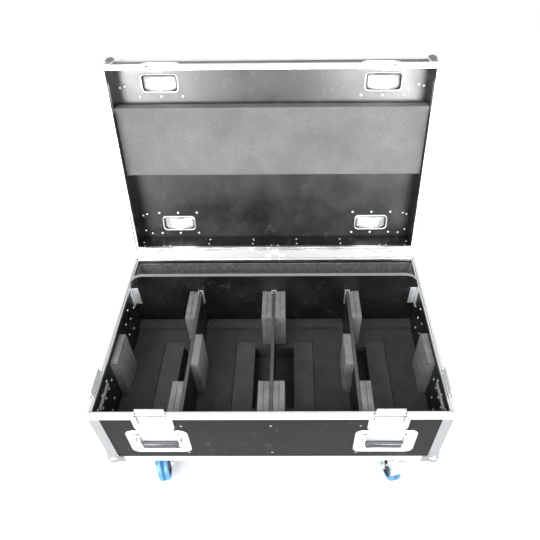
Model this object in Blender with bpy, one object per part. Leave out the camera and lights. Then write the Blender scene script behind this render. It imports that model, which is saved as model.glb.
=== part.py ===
"""Lighting flight case: a latched trunk of laminated boards held in aluminium edges, on four castors.

Units are metres and +Z is up. The case is drawn with its front face at y = 0 and the floor it
stands on at z = 0, lid open. At the end everything is moved so that the middle of the footprint
of the whole object lies at the origin.
"""
import math

import bmesh
import bpy
import numpy as np
from mathutils import Matrix, Vector

# Overall sizes of the box, over the faces of its aluminium edges
CASE_WIDTH = 0.960
CASE_DEPTH = 0.600
BASE_HEIGHT = 0.262
LID_HEIGHT = 0.092
LID_OPEN_DEGREES = 101.6

# Boards and aluminium edges
BOARD_THICKNESS = 0.009
EDGE_LEG = 0.030
EDGE_WALL = 0.0015
EDGE_CORNER_RADIUS = 0.003
RIM_OUTER_LEG = 0.020
SEAT_GAP = 0.0003
RIM_INNER_LEG = 0.009
RIM_TONGUE_WIDTH = 0.003
RIM_TONGUE_HEIGHT = 0.004
RIM_GROOVE_PLAY = 0.0011
RIM_CLOSING_GAP = 0.0005
CORNER_BRACE_LEG = 0.034
CORNER_BRACE_HEIGHT = 0.018
CORNER_PLATE_THICKNESS = 0.0012
CORNER_BITE_SHARE = 0.62

# Ball corners
BALL_RADIUS = 0.020
BALL_INSET = 0.011
BALL_PETAL_LENGTH = 0.046
BALL_PETAL_WIDTH = 0.024
BALL_SEGMENTS = 12
BALL_RINGS = 8

# Hinges at the back
HINGE_PIN_OFFSET = 0.015
HINGE_PIN_RISE = 0.004
HINGE_FROM_SIDE = 0.108
HINGE_WIDTH = 0.064
HINGE_LEAF_HEIGHT = 0.027
HINGE_LEAF_THICKNESS = 0.002
HINGE_BARREL_RADIUS = 0.0055
HINGE_PIN_RADIUS = 0.0028
HINGE_KNUCKLE_GAP = 0.0005
HINGE_BARREL_SWEEP = 130
HINGE_BARREL_STEPS = 6
HINGE_MIDDLE_KNUCKLE = 0.026

# Butterfly latches
LATCH_FROM_SIDE = 0.1685
SIDE_LATCH_FROM_FRONT = 0.095
LATCH_WIDTH = 0.108
LATCH_HEIGHT = 0.078
LATCH_CORNER_RADIUS = 0.020
LATCH_PLATE = 0.0012
LATCH_PAN_WIDTH = 0.082
LATCH_PAN_HEIGHT = 0.064
LATCH_PAN_DEPTH = 0.0078
KEEPER_HEIGHT = 0.034
KEEPER_PAN_HEIGHT = 0.026
KEEPER_PAN_DEPTH = 0.0096
KEEPER_RIDGE_LOW = 0.0085
KEEPER_RIDGE_HEIGHT = 0.005
KEEPER_RIDGE_DEPTH = 0.0019
HOOK_WIDTH = 0.076
HOOK_THICKNESS = 0.0015
HOOK_LIP = 0.0018
HOOK_LIP_HEIGHT = 0.003
HOOK_TRAVEL_DOWN = 0.0062
HOOK_TRAVEL_IN = 0.0025
KEY_CENTRE_DROP = 0.040
KEY_DISC_RADIUS = 0.019
KEY_DISC_THICKNESS = 0.0013
KEY_WING_LENGTH = 0.044
KEY_WING_END = 0.020
KEY_WING_WAIST = 0.009
KEY_WING_THICKNESS = 0.0016
KEY_BOSS_RADIUS = 0.0045
KEY_WING_CORNER_SHARE = 0.7
KEEPER_CORNER_SHARE = 0.7

# Sprung handles
FRONT_HANDLE_FROM_SIDE = 0.166
LATCH_TO_HANDLE = 0.002
SIDE_HANDLE_TOP_DROP = 0.036
HANDLE_WIDTH = 0.170
HANDLE_HEIGHT_SHARE = 0.4733
HANDLE_CORNER_RADIUS = 0.020
HANDLE_PLATE = 0.0012
HANDLE_PAN_WIDTH = 0.130
HANDLE_PAN_MARGIN = 0.019
HANDLE_PAN_RADIUS = 0.010
BAIL_WIRE_RADIUS = 0.004
BAIL_PIN_RADIUS = 0.0025
BAIL_WIDTH = 0.112
BAIL_TOP_AND_FOOT_ROOM = 0.034
BAIL_BEND_RADIUS = 0.012
BAIL_GRIP_HEIGHT = 0.024
BAIL_GRIP_DEPTH = 0.011
BAIL_GRIP_CORNER = 0.005
BAIL_GRIP_PLAY = 0.0008
BAIL_GRIP_LENGTH = 0.100
BAIL_GRIP_GROOVES = 3
BAIL_GRIP_GROOVE_WIDTH = 0.0022
BAIL_GRIP_GROOVE_DEPTH = 0.0012
BAIL_EAR_THICKNESS = 0.003
BAIL_EAR_REACH = 0.0135
BAIL_SIDES = 8

# Castors
CASTOR_HEIGHT = 0.128
CASTOR_FROM_SIDE = 0.130
CASTOR_PLATE_LENGTH = 0.105
CASTOR_PLATE_WIDTH = 0.078
CASTOR_PLATE_THICKNESS = 0.003
CASTOR_PLATE_RADIUS = 0.008
CASTOR_RACE_RADIUS = 0.029
CASTOR_RACE_HEIGHT = 0.007
CASTOR_HEAD_RADIUS = 0.033
CASTOR_HEAD_HEIGHT = 0.009
CASTOR_RACE_TOP_SHARE = 0.92
CASTOR_RACE_FOOT_SHARE = 0.86
CASTOR_HEAD_TOP_SHARE = 0.8
CASTOR_HEAD_FOOT_SHARE = 0.95
CASTOR_HEAD_RIM_SHARE = 0.55
CASTOR_BOLT_RADIUS = 0.0045
CASTOR_BOLT_LENGTH_SPREAD = 0.080
CASTOR_BOLT_WIDTH_SPREAD = 0.058
CASTOR_TRAIL = 0.044
CASTOR_RUNNING_GAP = 0.0006
FORK_PLATE = 0.003
FORK_HEAD_LENGTH = 0.030
FORK_TAIL_WIDTH = 0.034
FORK_CREST = 0.018
FORK_THROAT = 0.0115
FORK_TAIL_START_DEGREES = 215
FORK_TAIL_END_DEGREES = 375
FORK_TAIL_STEPS = 8
WHEEL_RADIUS = 0.050
WHEEL_TREAD_WIDTH = 0.036
WHEEL_TREAD_DEPTH = 0.009
WHEEL_CORE_WIDTH = 0.028
WHEEL_HUB_RADIUS = 0.016
WHEEL_HUB_WIDTH = 0.038
WHEEL_SIDE_PLAY = 0.002
WHEEL_FLAT_SHARE = 0.6
WHEEL_CROWN_SHARE = 0.45
AXLE_RADIUS = 0.006
AXLE_NUT_RADIUS = 0.0095
AXLE_NUT_LENGTH = 0.005
NUT_SIDES = 6
AXLE_BORE_PLAY = 0.0004
PEDAL_WIDTH = 0.050
PEDAL_LENGTH = 0.062
PEDAL_THICKNESS = 0.0025
PEDAL_PIN_RADIUS = 0.004
PEDAL_LIP = 0.016
FRONT_SWIVEL_DEGREES = 12.0
REAR_SWIVEL_DEGREES = 35.0

# Fittings inside the base
PARTITION_THICKNESS = 0.012
PARTITION_FROM_FRONT = 0.466
PARTITION_RISE = 0.043
PARTITION_CORNER_RADIUS = 0.043
DIVIDER_THICKNESS = 0.010
DIVIDER_SPREAD_SHARE = 0.25
DIVIDER_TOP_DROP = 0.025
DIVIDER_PLAY = 0.0005
CHANNEL_WALL = 0.0015
CHANNEL_LEG = 0.012
CHANNEL_UPPER_LENGTH = 0.052
CHANNEL_LOWER_LENGTH = 0.026
CHANNEL_LOWER_SINK = 0.018
END_BLOCK_LENGTH = 0.112
END_BLOCK_THICKNESS = 0.032
MIDDLE_BLOCK_LENGTH = 0.110
MIDDLE_BLOCK_THICKNESS = 0.022
MIDDLE_BLOCK_FROM_FRONT = 0.178
FLOOR_FOAM_THICKNESS = 0.0712
FLOOR_LEDGE_RISE = 0.012
FLOOR_LEDGE_FROM_FRONT = 0.428
DIVIDER_FOAM_DEPTH = 0.046
FLOOR_POCKET_WIDTH = 0.058
FLOOR_POCKET_FRONT = 0.125
FLOOR_POCKET_BACK = 0.352
FLOOR_POCKET_DEPTH = 0.052
FOAM_GAP = 0.0005
LINING_THICKNESS = 0.008
LINING_TOP_DROP = 0.006

# Fittings of the lid
LID_PAD_THICKNESS = 0.050
LID_PAD_FROM_FRONT = 0.126
LID_PAD_LENGTH = 0.211
CUP_FROM_SIDE = 0.145
CUP_FROM_EDGE = 0.065
CUP_FLANGE_LENGTH = 0.158
CUP_FLANGE_WIDTH = 0.090
CUP_FLANGE_RADIUS = 0.014
CUP_PLATE = 0.0015
CUP_LENGTH = 0.101
CUP_WIDTH = 0.042
CUP_DEPTH = 0.021
CUP_ARC_STEPS = 8

# How cuts and round pieces are drawn
OVERRUN = 0.002
WELD = 0.0004
ARC_STEPS = 3
ROUND_SEGMENTS = 16
SMALL_ROUND_SEGMENTS = 8
WHEEL_SEGMENTS = 24
SMOOTH_BELOW_DEGREES = 35
MERGE_DISTANCE = 0.000003

# Places that follow from the sizes above
HALF_WIDTH = CASE_WIDTH / 2
CASTOR_SPREAD = HALF_WIDTH - CASTOR_FROM_SIDE
HINGE_SPREAD = HALF_WIDTH - HINGE_FROM_SIDE
LATCH_SPREAD = HALF_WIDTH - LATCH_FROM_SIDE
FRONT_HANDLE_SPREAD = HALF_WIDTH - FRONT_HANDLE_FROM_SIDE
FRONT_HANDLE_TOP_DROP = LATCH_HEIGHT + LATCH_TO_HANDLE
HANDLE_HEIGHT = BASE_HEIGHT * HANDLE_HEIGHT_SHARE
HANDLE_PAN_HEIGHT = HANDLE_HEIGHT - 2 * HANDLE_PAN_MARGIN
BAIL_DROP = HANDLE_PAN_HEIGHT - BAIL_TOP_AND_FOOT_ROOM
CUP_SPREAD = HALF_WIDTH - CUP_FROM_SIDE
DIVIDER_SPREAD = CASE_WIDTH * DIVIDER_SPREAD_SHARE
PANEL_INSET = EDGE_WALL + SEAT_GAP
PANEL_BACK = PANEL_INSET + BOARD_THICKNESS
RIM_THICKNESS = PANEL_BACK + SEAT_GAP + EDGE_WALL
BASE_BOTTOM = CASTOR_HEIGHT - PANEL_INSET + SEAT_GAP
RIM_Z = BASE_BOTTOM + BASE_HEIGHT
FLOOR_TOP = BASE_BOTTOM + PANEL_INSET + BOARD_THICKNESS
FLOOR_FOAM_DROP = RIM_Z - FLOOR_TOP - FLOOR_FOAM_THICKNESS
FLOOR_LEDGE_DROP = FLOOR_FOAM_DROP - FLOOR_LEDGE_RISE
FLOOR_POCKET_DROP = FLOOR_FOAM_DROP + FLOOR_POCKET_DEPTH
CHANNEL_LOWER_DROP = FLOOR_FOAM_DROP + CHANNEL_LOWER_SINK
INNER_HALF_WIDTH = HALF_WIDTH - PANEL_BACK
INNER_BACK = CASE_DEPTH - PANEL_BACK
HINGE_Y = CASE_DEPTH + HINGE_PIN_OFFSET
HINGE_Z = RIM_Z + HINGE_PIN_RISE
LID_BOTTOM = RIM_Z + RIM_CLOSING_GAP
CASTOR_INSET = EDGE_LEG + SEAT_GAP + CASTOR_PLATE_WIDTH / 2
RACE_BOTTOM = CASTOR_HEIGHT - SEAT_GAP - CASTOR_PLATE_THICKNESS - CASTOR_RACE_HEIGHT
HEAD_TOP = RACE_BOTTOM - CASTOR_RUNNING_GAP


def clear_scene():
    for item in list(bpy.data.objects):
        bpy.data.objects.remove(item, do_unlink=True)


def make_material(name, colour, metallic, roughness):
    material = bpy.data.materials.new(name)
    material.use_nodes = True
    shader = material.node_tree.nodes["Principled BSDF"]
    shader.inputs["Base Color"].default_value = (*colour, 1.0)
    shader.inputs["Metallic"].default_value = metallic
    shader.inputs["Roughness"].default_value = roughness
    return material


def make_empty(name, location, parent=None):
    empty = bpy.data.objects.new(name, None)
    bpy.context.scene.collection.objects.link(empty)
    empty.parent = parent
    empty.location = location
    return empty


def finish(name, body, material, parent, location=(0, 0, 0), smooth=False):
    """Turn a bmesh, drawn about its own origin, into a named object under its parent."""
    bmesh.ops.recalc_face_normals(body, faces=body.faces)
    mesh = bpy.data.meshes.new(name)
    body.to_mesh(mesh)
    body.free()
    mesh.materials.append(material)
    if smooth:
        mesh.shade_smooth()
        mesh.set_sharp_from_angle(angle=math.radians(SMOOTH_BELOW_DEGREES))
    piece = bpy.data.objects.new(name, mesh)
    bpy.context.scene.collection.objects.link(piece)
    piece.parent = parent
    piece.location = location
    return piece


def box(low, high):
    body = bmesh.new()
    bmesh.ops.create_cube(body, size=1.0)
    centre = [(a + b) / 2 for a, b in zip(low, high)]
    scale = [b - a for a, b in zip(low, high)]
    bmesh.ops.scale(body, vec=scale, verts=body.verts)
    bmesh.ops.translate(body, vec=centre, verts=body.verts)
    return body


def plane_of(along):
    """The two directions that an outline's points run along, then the one that it is pulled in."""
    return {"x": (1, 2, 0), "y": (0, 2, 1), "z": (0, 1, 2)}[along]


def prism(outline, low, high, along):
    """Pull a closed outline from low to high along x, y or z."""
    first, second, third = plane_of(along)
    body = bmesh.new()
    loops = []
    for level in (low, high):
        loop = []
        for point in outline:
            place = [0.0, 0.0, 0.0]
            place[first], place[second], place[third] = point[0], point[1], level
            loop.append(body.verts.new(place))
        loops.append(loop)
    count = len(outline)
    for index in range(count):
        after = (index + 1) % count
        body.faces.new((loops[0][index], loops[0][after], loops[1][after], loops[1][index]))
    body.faces.new(loops[0])
    body.faces.new(reversed(loops[1]))
    bmesh.ops.recalc_face_normals(body, faces=body.faces)
    return body


def arc(centre, radius, start, end, steps=ARC_STEPS):
    """Points along an arc, angles in degrees."""
    angles = np.radians(np.linspace(start, end, steps + 1))
    return [(centre[0] + radius * math.cos(a), centre[1] + radius * math.sin(a)) for a in angles]


def rounded_rectangle(low, high, radius, steps=ARC_STEPS):
    """Outline of a rectangle whose four corners share one radius."""
    left, bottom = low
    right, top = high
    points = arc((right - radius, bottom + radius), radius, -90, 0, steps)
    points += arc((right - radius, top - radius), radius, 0, 90, steps)
    points += arc((left + radius, top - radius), radius, 90, 180, steps)
    points += arc((left + radius, bottom + radius), radius, 180, 270, steps)
    return points


def cylinder(radius, low, high, along, segments=ROUND_SEGMENTS, centre=(0.0, 0.0)):
    """A round bar; centre gives its place across the direction it runs in."""
    outline = [(centre[0] + radius * math.cos(a), centre[1] + radius * math.sin(a))
               for a in np.linspace(0, 2 * math.pi, segments, endpoint=False)]
    return prism(outline, low, high, along)


def turned(profile, along, segments=ROUND_SEGMENTS):
    """Turn a closed profile of (radius, height) points about the x, y or z axis."""
    first, second, third = plane_of(along)
    body = bmesh.new()
    rings = []
    for angle in np.linspace(0, 2 * math.pi, segments, endpoint=False):
        ring = []
        for radius, height in profile:
            place = [0.0, 0.0, 0.0]
            place[first] = radius * math.cos(angle)
            place[second] = radius * math.sin(angle)
            place[third] = height
            ring.append(body.verts.new(place))
        rings.append(ring)
    for ring, after in zip(rings, rings[1:] + rings[:1]):
        for index in range(len(profile)):
            step = (index + 1) % len(profile)
            body.faces.new((ring[index], ring[step], after[step], after[index]))
    bmesh.ops.remove_doubles(body, verts=body.verts, dist=MERGE_DISTANCE)
    bmesh.ops.recalc_face_normals(body, faces=body.faces)
    return body


def mitred_ring(profile, base):
    """Run an edge profile round the four sides of the case, mitred at the corners.

    A profile point is (how far inside the outer face, height above base).
    """
    body = bmesh.new()
    corners = ((-1, 0), (1, 0), (1, 1), (-1, 1))
    loops = []
    for side, back in corners:
        loop = []
        for inset, height in profile:
            y = CASE_DEPTH - inset if back else inset
            loop.append(body.verts.new((side * (HALF_WIDTH - inset), y, base + height)))
        loops.append(loop)
    for loop, after in zip(loops, loops[1:] + loops[:1]):
        for index in range(len(profile)):
            step = (index + 1) % len(profile)
            body.faces.new((loop[index], loop[step], after[step], after[index]))
    bmesh.ops.recalc_face_normals(body, faces=body.faces)
    return body


def tube(points, radii, sides):
    """A round rod along points that lie in one plane; radii gives its radius at each point."""
    body = bmesh.new()
    rings = []
    count = len(points)
    places = [Vector(point) for point in points]
    normal = (places[1] - places[0]).cross(places[-1] - places[0]).normalized()
    for index, place in enumerate(places):
        before = places[max(index - 1, 0)]
        after = places[min(index + 1, count - 1)]
        direction = (after - before).normalized()
        across = direction.cross(normal)
        ring = []
        for angle in np.linspace(0, 2 * math.pi, sides, endpoint=False):
            spoke = across * math.cos(angle) + normal * math.sin(angle)
            ring.append(body.verts.new(place + spoke * radii[index]))
        rings.append(ring)
    for ring, after in zip(rings, rings[1:]):
        for index in range(sides):
            step = (index + 1) % sides
            body.faces.new((ring[index], ring[step], after[step], after[index]))
    body.faces.new(rings[0])
    body.faces.new(reversed(rings[-1]))
    bmesh.ops.recalc_face_normals(body, faces=body.faces)
    return body


def boolean(body, tool, operation):
    """Join or cut one closed bmesh with another and give the result as a new bmesh."""
    pieces = []
    for source in (body, tool):
        mesh = bpy.data.meshes.new("work")
        source.to_mesh(mesh)
        source.free()
        piece = bpy.data.objects.new("work", mesh)
        bpy.context.scene.collection.objects.link(piece)
        pieces.append(piece)
    modifier = pieces[0].modifiers.new("boolean", "BOOLEAN")
    modifier.operation = operation
    modifier.object = pieces[1]
    modifier.solver = "EXACT"
    depsgraph = bpy.context.evaluated_depsgraph_get()
    evaluated = pieces[0].evaluated_get(depsgraph)
    result = bmesh.new()
    result.from_mesh(evaluated.to_mesh())
    evaluated.to_mesh_clear()
    for piece in pieces:
        mesh = piece.data
        bpy.data.objects.remove(piece, do_unlink=True)
        bpy.data.meshes.remove(mesh)
    bmesh.ops.remove_doubles(result, verts=result.verts, dist=MERGE_DISTANCE)
    return result


def join(body, *tools):
    for tool in tools:
        body = boolean(body, tool, "UNION")
    return body


def cut(body, *tools):
    for tool in tools:
        body = boolean(body, tool, "DIFFERENCE")
    return body


def moved(body, matrix):
    bmesh.ops.transform(body, matrix=matrix, verts=body.verts)
    return body


def quarter_turns(count):
    return Matrix.Rotation(math.radians(90) * count, 4, "Z")


def face_frames():
    """Frames in which x runs along a face, y runs into the case and z is measured from the rim."""
    front = Matrix.Translation((0, 0, RIM_Z))
    left = Matrix.Translation((-HALF_WIDTH, 0, RIM_Z)) @ quarter_turns(-1)
    right = Matrix.Translation((HALF_WIDTH, 0, RIM_Z)) @ quarter_turns(1)
    return {"front": front, "left": left, "right": right}


FACES = face_frames()
LATCHES = {
    "front_left": FACES["front"] @ Matrix.Translation((-LATCH_SPREAD, 0, 0)),
    "front_right": FACES["front"] @ Matrix.Translation((LATCH_SPREAD, 0, 0)),
    "left_side": FACES["left"] @ Matrix.Translation((-SIDE_LATCH_FROM_FRONT, 0, 0)),
    "right_side": FACES["right"] @ Matrix.Translation((SIDE_LATCH_FROM_FRONT, 0, 0)),
}
HANDLES = {
    "front_left": FACES["front"] @ Matrix.Translation((-FRONT_HANDLE_SPREAD, 0, -FRONT_HANDLE_TOP_DROP)),
    "front_right": FACES["front"] @ Matrix.Translation((FRONT_HANDLE_SPREAD, 0, -FRONT_HANDLE_TOP_DROP)),
    "left_side": FACES["left"] @ Matrix.Translation((-CASE_DEPTH / 2, 0, -SIDE_HANDLE_TOP_DROP)),
    "right_side": FACES["right"] @ Matrix.Translation((CASE_DEPTH / 2, 0, -SIDE_HANDLE_TOP_DROP)),
}
HANDLE_OF_FACE = {"front": ("front_left", "front_right"), "left": ("left_side",), "right": ("right_side",)}


def latch_opening(frame):
    """The notch that a latch's pan needs in the base rim and its board."""
    half = LATCH_PAN_WIDTH / 2 + LATCH_PLATE + SEAT_GAP
    depth = LATCH_PAN_DEPTH + LATCH_PLATE + SEAT_GAP
    low = (-half, -OVERRUN, -LATCH_PAN_HEIGHT - LATCH_PLATE - SEAT_GAP)
    return moved(box(low, (half, depth, RIM_TONGUE_HEIGHT + OVERRUN)), frame)


def keeper_opening(frame, play):
    """The notch that a keeper's pan needs in the lid's rim or board, with some play to each side."""
    half = LATCH_PAN_WIDTH / 2 + LATCH_PLATE + play
    depth = KEEPER_PAN_DEPTH + LATCH_PLATE + SEAT_GAP
    top = KEEPER_PAN_HEIGHT + LATCH_PLATE + SEAT_GAP
    return moved(box((-half, -OVERRUN, -OVERRUN), (half, depth, top)), frame)


def handle_opening(frame):
    """The hole that a handle's pan needs in its board."""
    half = HANDLE_PAN_WIDTH / 2 + HANDLE_PLATE + SEAT_GAP
    middle = -HANDLE_HEIGHT / 2
    reach = HANDLE_PAN_HEIGHT / 2 + HANDLE_PLATE + SEAT_GAP
    outline = rounded_rectangle((-half, middle - reach), (half, middle + reach),
                                HANDLE_PAN_RADIUS + HANDLE_PLATE)
    return moved(prism(outline, -OVERRUN, PANEL_BACK + OVERRUN, "y"), frame)


def base_rim_profile():
    inner = PANEL_BACK + SEAT_GAP
    tongue = RIM_THICKNESS / 2
    half = RIM_TONGUE_WIDTH / 2
    return [
        (0, 0), (0, -RIM_OUTER_LEG), (EDGE_WALL, -RIM_OUTER_LEG), (EDGE_WALL, -EDGE_WALL),
        (inner, -EDGE_WALL), (inner, -RIM_INNER_LEG), (RIM_THICKNESS, -RIM_INNER_LEG), (RIM_THICKNESS, 0),
        (tongue + half, 0), (tongue + half, RIM_TONGUE_HEIGHT),
        (tongue - half, RIM_TONGUE_HEIGHT), (tongue - half, 0),
    ]


def lid_rim_profile():
    inner = PANEL_BACK + SEAT_GAP
    groove = RIM_THICKNESS / 2
    half = RIM_TONGUE_WIDTH / 2 + RIM_GROOVE_PLAY
    depth = RIM_TONGUE_HEIGHT + RIM_GROOVE_PLAY
    web = depth + EDGE_WALL
    return [
        (0, 0), (groove - half, 0), (groove - half, depth), (groove + half, depth), (groove + half, 0),
        (RIM_THICKNESS, 0), (RIM_THICKNESS, RIM_INNER_LEG), (inner, RIM_INNER_LEG), (inner, web),
        (EDGE_WALL, web), (EDGE_WALL, RIM_OUTER_LEG), (0, RIM_OUTER_LEG),
    ]


def edge_profile(upward):
    """The rounded angle along the bottom of the base (upward) or the top of the lid."""
    sign = 1 if upward else -1
    bend = [(EDGE_CORNER_RADIUS - x, sign * (EDGE_CORNER_RADIUS - y))
            for x, y in arc((0, 0), EDGE_CORNER_RADIUS, 0, 90)]
    inside = [(EDGE_LEG, 0), (EDGE_LEG, sign * EDGE_WALL), (EDGE_WALL, sign * EDGE_WALL),
              (EDGE_WALL, sign * EDGE_LEG), (0, sign * EDGE_LEG)]
    return bend + inside


def corner_matrices():
    """The four upright corners, as frames whose x and y run into the case."""
    frames = []
    for side, back in ((-1, 0), (1, 0), (1, 1), (-1, 1)):
        place = Matrix.Translation((side * HALF_WIDTH, CASE_DEPTH * back, 0))
        flip = Matrix.Diagonal((-side, 1 - 2 * back, 1, 1))
        frames.append(place @ flip)
    return frames


def corner_upright(frame, low, high):
    """An upright angle, drawn a hair inside the faces of the edges that it is welded to."""
    outer = WELD / 2
    inner = EDGE_WALL - WELD / 2
    bend = arc((EDGE_CORNER_RADIUS, EDGE_CORNER_RADIUS), EDGE_CORNER_RADIUS - outer, 180, 270)
    outline = bend + [(EDGE_LEG, outer), (EDGE_LEG, inner), (inner, inner)]
    outline += [(inner, EDGE_LEG), (outer, EDGE_LEG)]
    body = moved(prism(outline, low, high, "z"), frame)
    bmesh.ops.recalc_face_normals(body, faces=body.faces)
    return body


def corner_brace(frame, low, high):
    """A thin angle riveted round the end of the rim at a corner."""
    outside = -CORNER_PLATE_THICKNESS
    outline = [(outside, outside), (CORNER_BRACE_LEG, outside), (CORNER_BRACE_LEG, WELD),
               (WELD, WELD), (WELD, CORNER_BRACE_LEG), (outside, CORNER_BRACE_LEG)]
    body = moved(prism(outline, low, high, "z"), frame)
    bmesh.ops.recalc_face_normals(body, faces=body.faces)
    return body


def ball_corner(frame, level, upward):
    """A ball over the corner with three petals, one flat on each face that meets there."""
    sign = 1 if upward else -1
    out = -CORNER_PLATE_THICKNESS
    end = BALL_PETAL_LENGTH
    width = BALL_PETAL_WIDTH
    ball = bmesh.new()
    bmesh.ops.create_uvsphere(ball, u_segments=BALL_SEGMENTS, v_segments=BALL_RINGS, radius=BALL_RADIUS)
    bmesh.ops.translate(ball, vec=(BALL_INSET, BALL_INSET, BALL_INSET), verts=ball.verts)
    fillet = end - width
    start = out / 2
    petal = [(start, start), (end, start)]
    petal += arc((end, end), fillet, 270, 180)
    petal += [(start, end)]
    for along in ("x", "y", "z"):
        ball = join(ball, prism(petal, out, EDGE_WALL, along))
    bite = EDGE_WALL * CORNER_BITE_SHARE
    far = BALL_RADIUS + BALL_INSET + end
    ball = cut(ball, box((bite, bite, bite), (far, far, far)))
    flip = Matrix.Diagonal((1, 1, sign, 1))
    body = moved(ball, frame @ Matrix.Translation((0, 0, level)) @ flip)
    bmesh.ops.recalc_face_normals(body, faces=body.faces)
    return body


def outer_edges(level, upward, upright_end):
    """The angle round the closed end of a half, its corner uprights and its ball corners."""
    body = mitred_ring(edge_profile(upward), level)
    sign = 1 if upward else -1
    start = level + sign * (EDGE_LEG - OVERRUN)
    for frame in corner_matrices():
        low, high = sorted((start, upright_end))
        body = join(body, corner_upright(frame, low, high))
    for frame in corner_matrices():
        body = join(body, ball_corner(frame, level, upward))
    return body


def build_base_boards(materials, root):
    black = materials["laminate"]
    low_z = FLOOR_TOP + SEAT_GAP
    high_z = RIM_Z - PANEL_INSET
    outer = HALF_WIDTH - PANEL_INSET
    side_start = PANEL_BACK + SEAT_GAP
    side_end = CASE_DEPTH - PANEL_BACK - SEAT_GAP
    floor = box((-outer, PANEL_INSET, BASE_BOTTOM + PANEL_INSET),
                (outer, CASE_DEPTH - PANEL_INSET, FLOOR_TOP))
    finish("base_floor_board", floor, black, root)
    front = box((-outer, PANEL_INSET, low_z), (outer, PANEL_BACK, high_z))
    for name in HANDLE_OF_FACE["front"]:
        front = cut(front, handle_opening(HANDLES[name]), latch_opening(LATCHES[name]))
    for centre in divider_places():
        for low, high in channel_spans():
            clip = channel(centre, PANEL_BACK - WELD, 1, low, high)
            front = join(front, clip)
    finish("base_front_board", front, black, root)
    back = box((-outer, CASE_DEPTH - PANEL_BACK, low_z), (outer, CASE_DEPTH - PANEL_INSET, high_z))
    finish("base_back_board", back, black, root)
    for side, sign in (("left", -1), ("right", 1)):
        edges = sorted((sign * outer, sign * INNER_HALF_WIDTH))
        board = box((edges[0], side_start, low_z), (edges[1], side_end, high_z))
        name = side + "_side"
        board = cut(board, handle_opening(HANDLES[name]), latch_opening(LATCHES[name]))
        finish("base_" + side + "_board", board, black, root)


def build_base_edges(materials, root):
    rim = mitred_ring(base_rim_profile(), RIM_Z)
    for frame in LATCHES.values():
        rim = cut(rim, latch_opening(frame))
    for frame in corner_matrices():
        rim = join(rim, corner_brace(frame, RIM_Z - CORNER_BRACE_HEIGHT, RIM_Z - SEAT_GAP))
    finish("base_rim_extrusion", rim, materials["aluminium"], root)
    edges = outer_edges(BASE_BOTTOM, True, RIM_Z - RIM_OUTER_LEG - SEAT_GAP)
    finish("base_edge_extrusions", edges, materials["aluminium"], root, smooth=True)


def divider_places():
    return [-DIVIDER_SPREAD, 0.0, DIVIDER_SPREAD]


def channel_spans():
    """Heights of the upper and lower clip that hold the end of a divider."""
    top = RIM_Z - DIVIDER_TOP_DROP
    lower = RIM_Z - CHANNEL_LOWER_DROP
    return ((top - CHANNEL_UPPER_LENGTH, top), (lower - CHANNEL_LOWER_LENGTH, lower))


def channel(centre, wall_y, direction, low, high):
    """A short U-shaped clip on a wall, open along y, that takes the edge of a divider."""
    inner = DIVIDER_THICKNESS / 2 + DIVIDER_PLAY
    outer = inner + CHANNEL_WALL
    web = wall_y + direction * (CHANNEL_WALL + WELD)
    tip = wall_y + direction * (CHANNEL_LEG + WELD)
    outline = [(centre - outer, wall_y), (centre + outer, wall_y), (centre + outer, tip),
               (centre + inner, tip), (centre + inner, web), (centre - inner, web),
               (centre - inner, tip), (centre - outer, tip)]
    return prism(outline, low, high, "z")


def build_partition(materials, root):
    """The board across the back with its rounded shoulders and the rear ends of the channels."""
    half = INNER_HALF_WIDTH - FOAM_GAP - EDGE_WALL - SEAT_GAP
    top = RIM_Z + PARTITION_RISE
    radius = PARTITION_CORNER_RADIUS
    bottom = RIM_Z - FLOOR_LEDGE_DROP - DIVIDER_FOAM_DEPTH + FOAM_GAP
    outline = [(-half, bottom), (half, bottom)]
    outline += arc((half - radius, top - radius), radius, 0, 90)
    outline += arc((radius - half, top - radius), radius, 90, 180)
    body = prism(outline, PARTITION_FROM_FRONT, PARTITION_FROM_FRONT + PARTITION_THICKNESS, "y")
    for centre in divider_places():
        for low, high in channel_spans():
            body = join(body, channel(centre, PARTITION_FROM_FRONT + WELD, -1, low, high))
    finish("rear_partition", body, materials["laminate"], root)


def foam_block(face, thickness, start, end, relief):
    """Plan of a foam block glued to a divider's face, with room for the channel leg beside it."""
    leg = face + math.copysign(CHANNEL_WALL + DIVIDER_PLAY + FOAM_GAP, thickness)
    outer = face + thickness
    if relief == "front":
        reach = start + CHANNEL_LEG + FOAM_GAP
        return [(face, reach), (face, end), (outer, end), (outer, start), (leg, start), (leg, reach)]
    if relief == "back":
        reach = end - CHANNEL_LEG - FOAM_GAP
        return [(face, start), (face, reach), (leg, reach), (leg, end), (outer, end), (outer, start)]
    return [(face, start), (face, end), (outer, end), (outer, start)]


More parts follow.
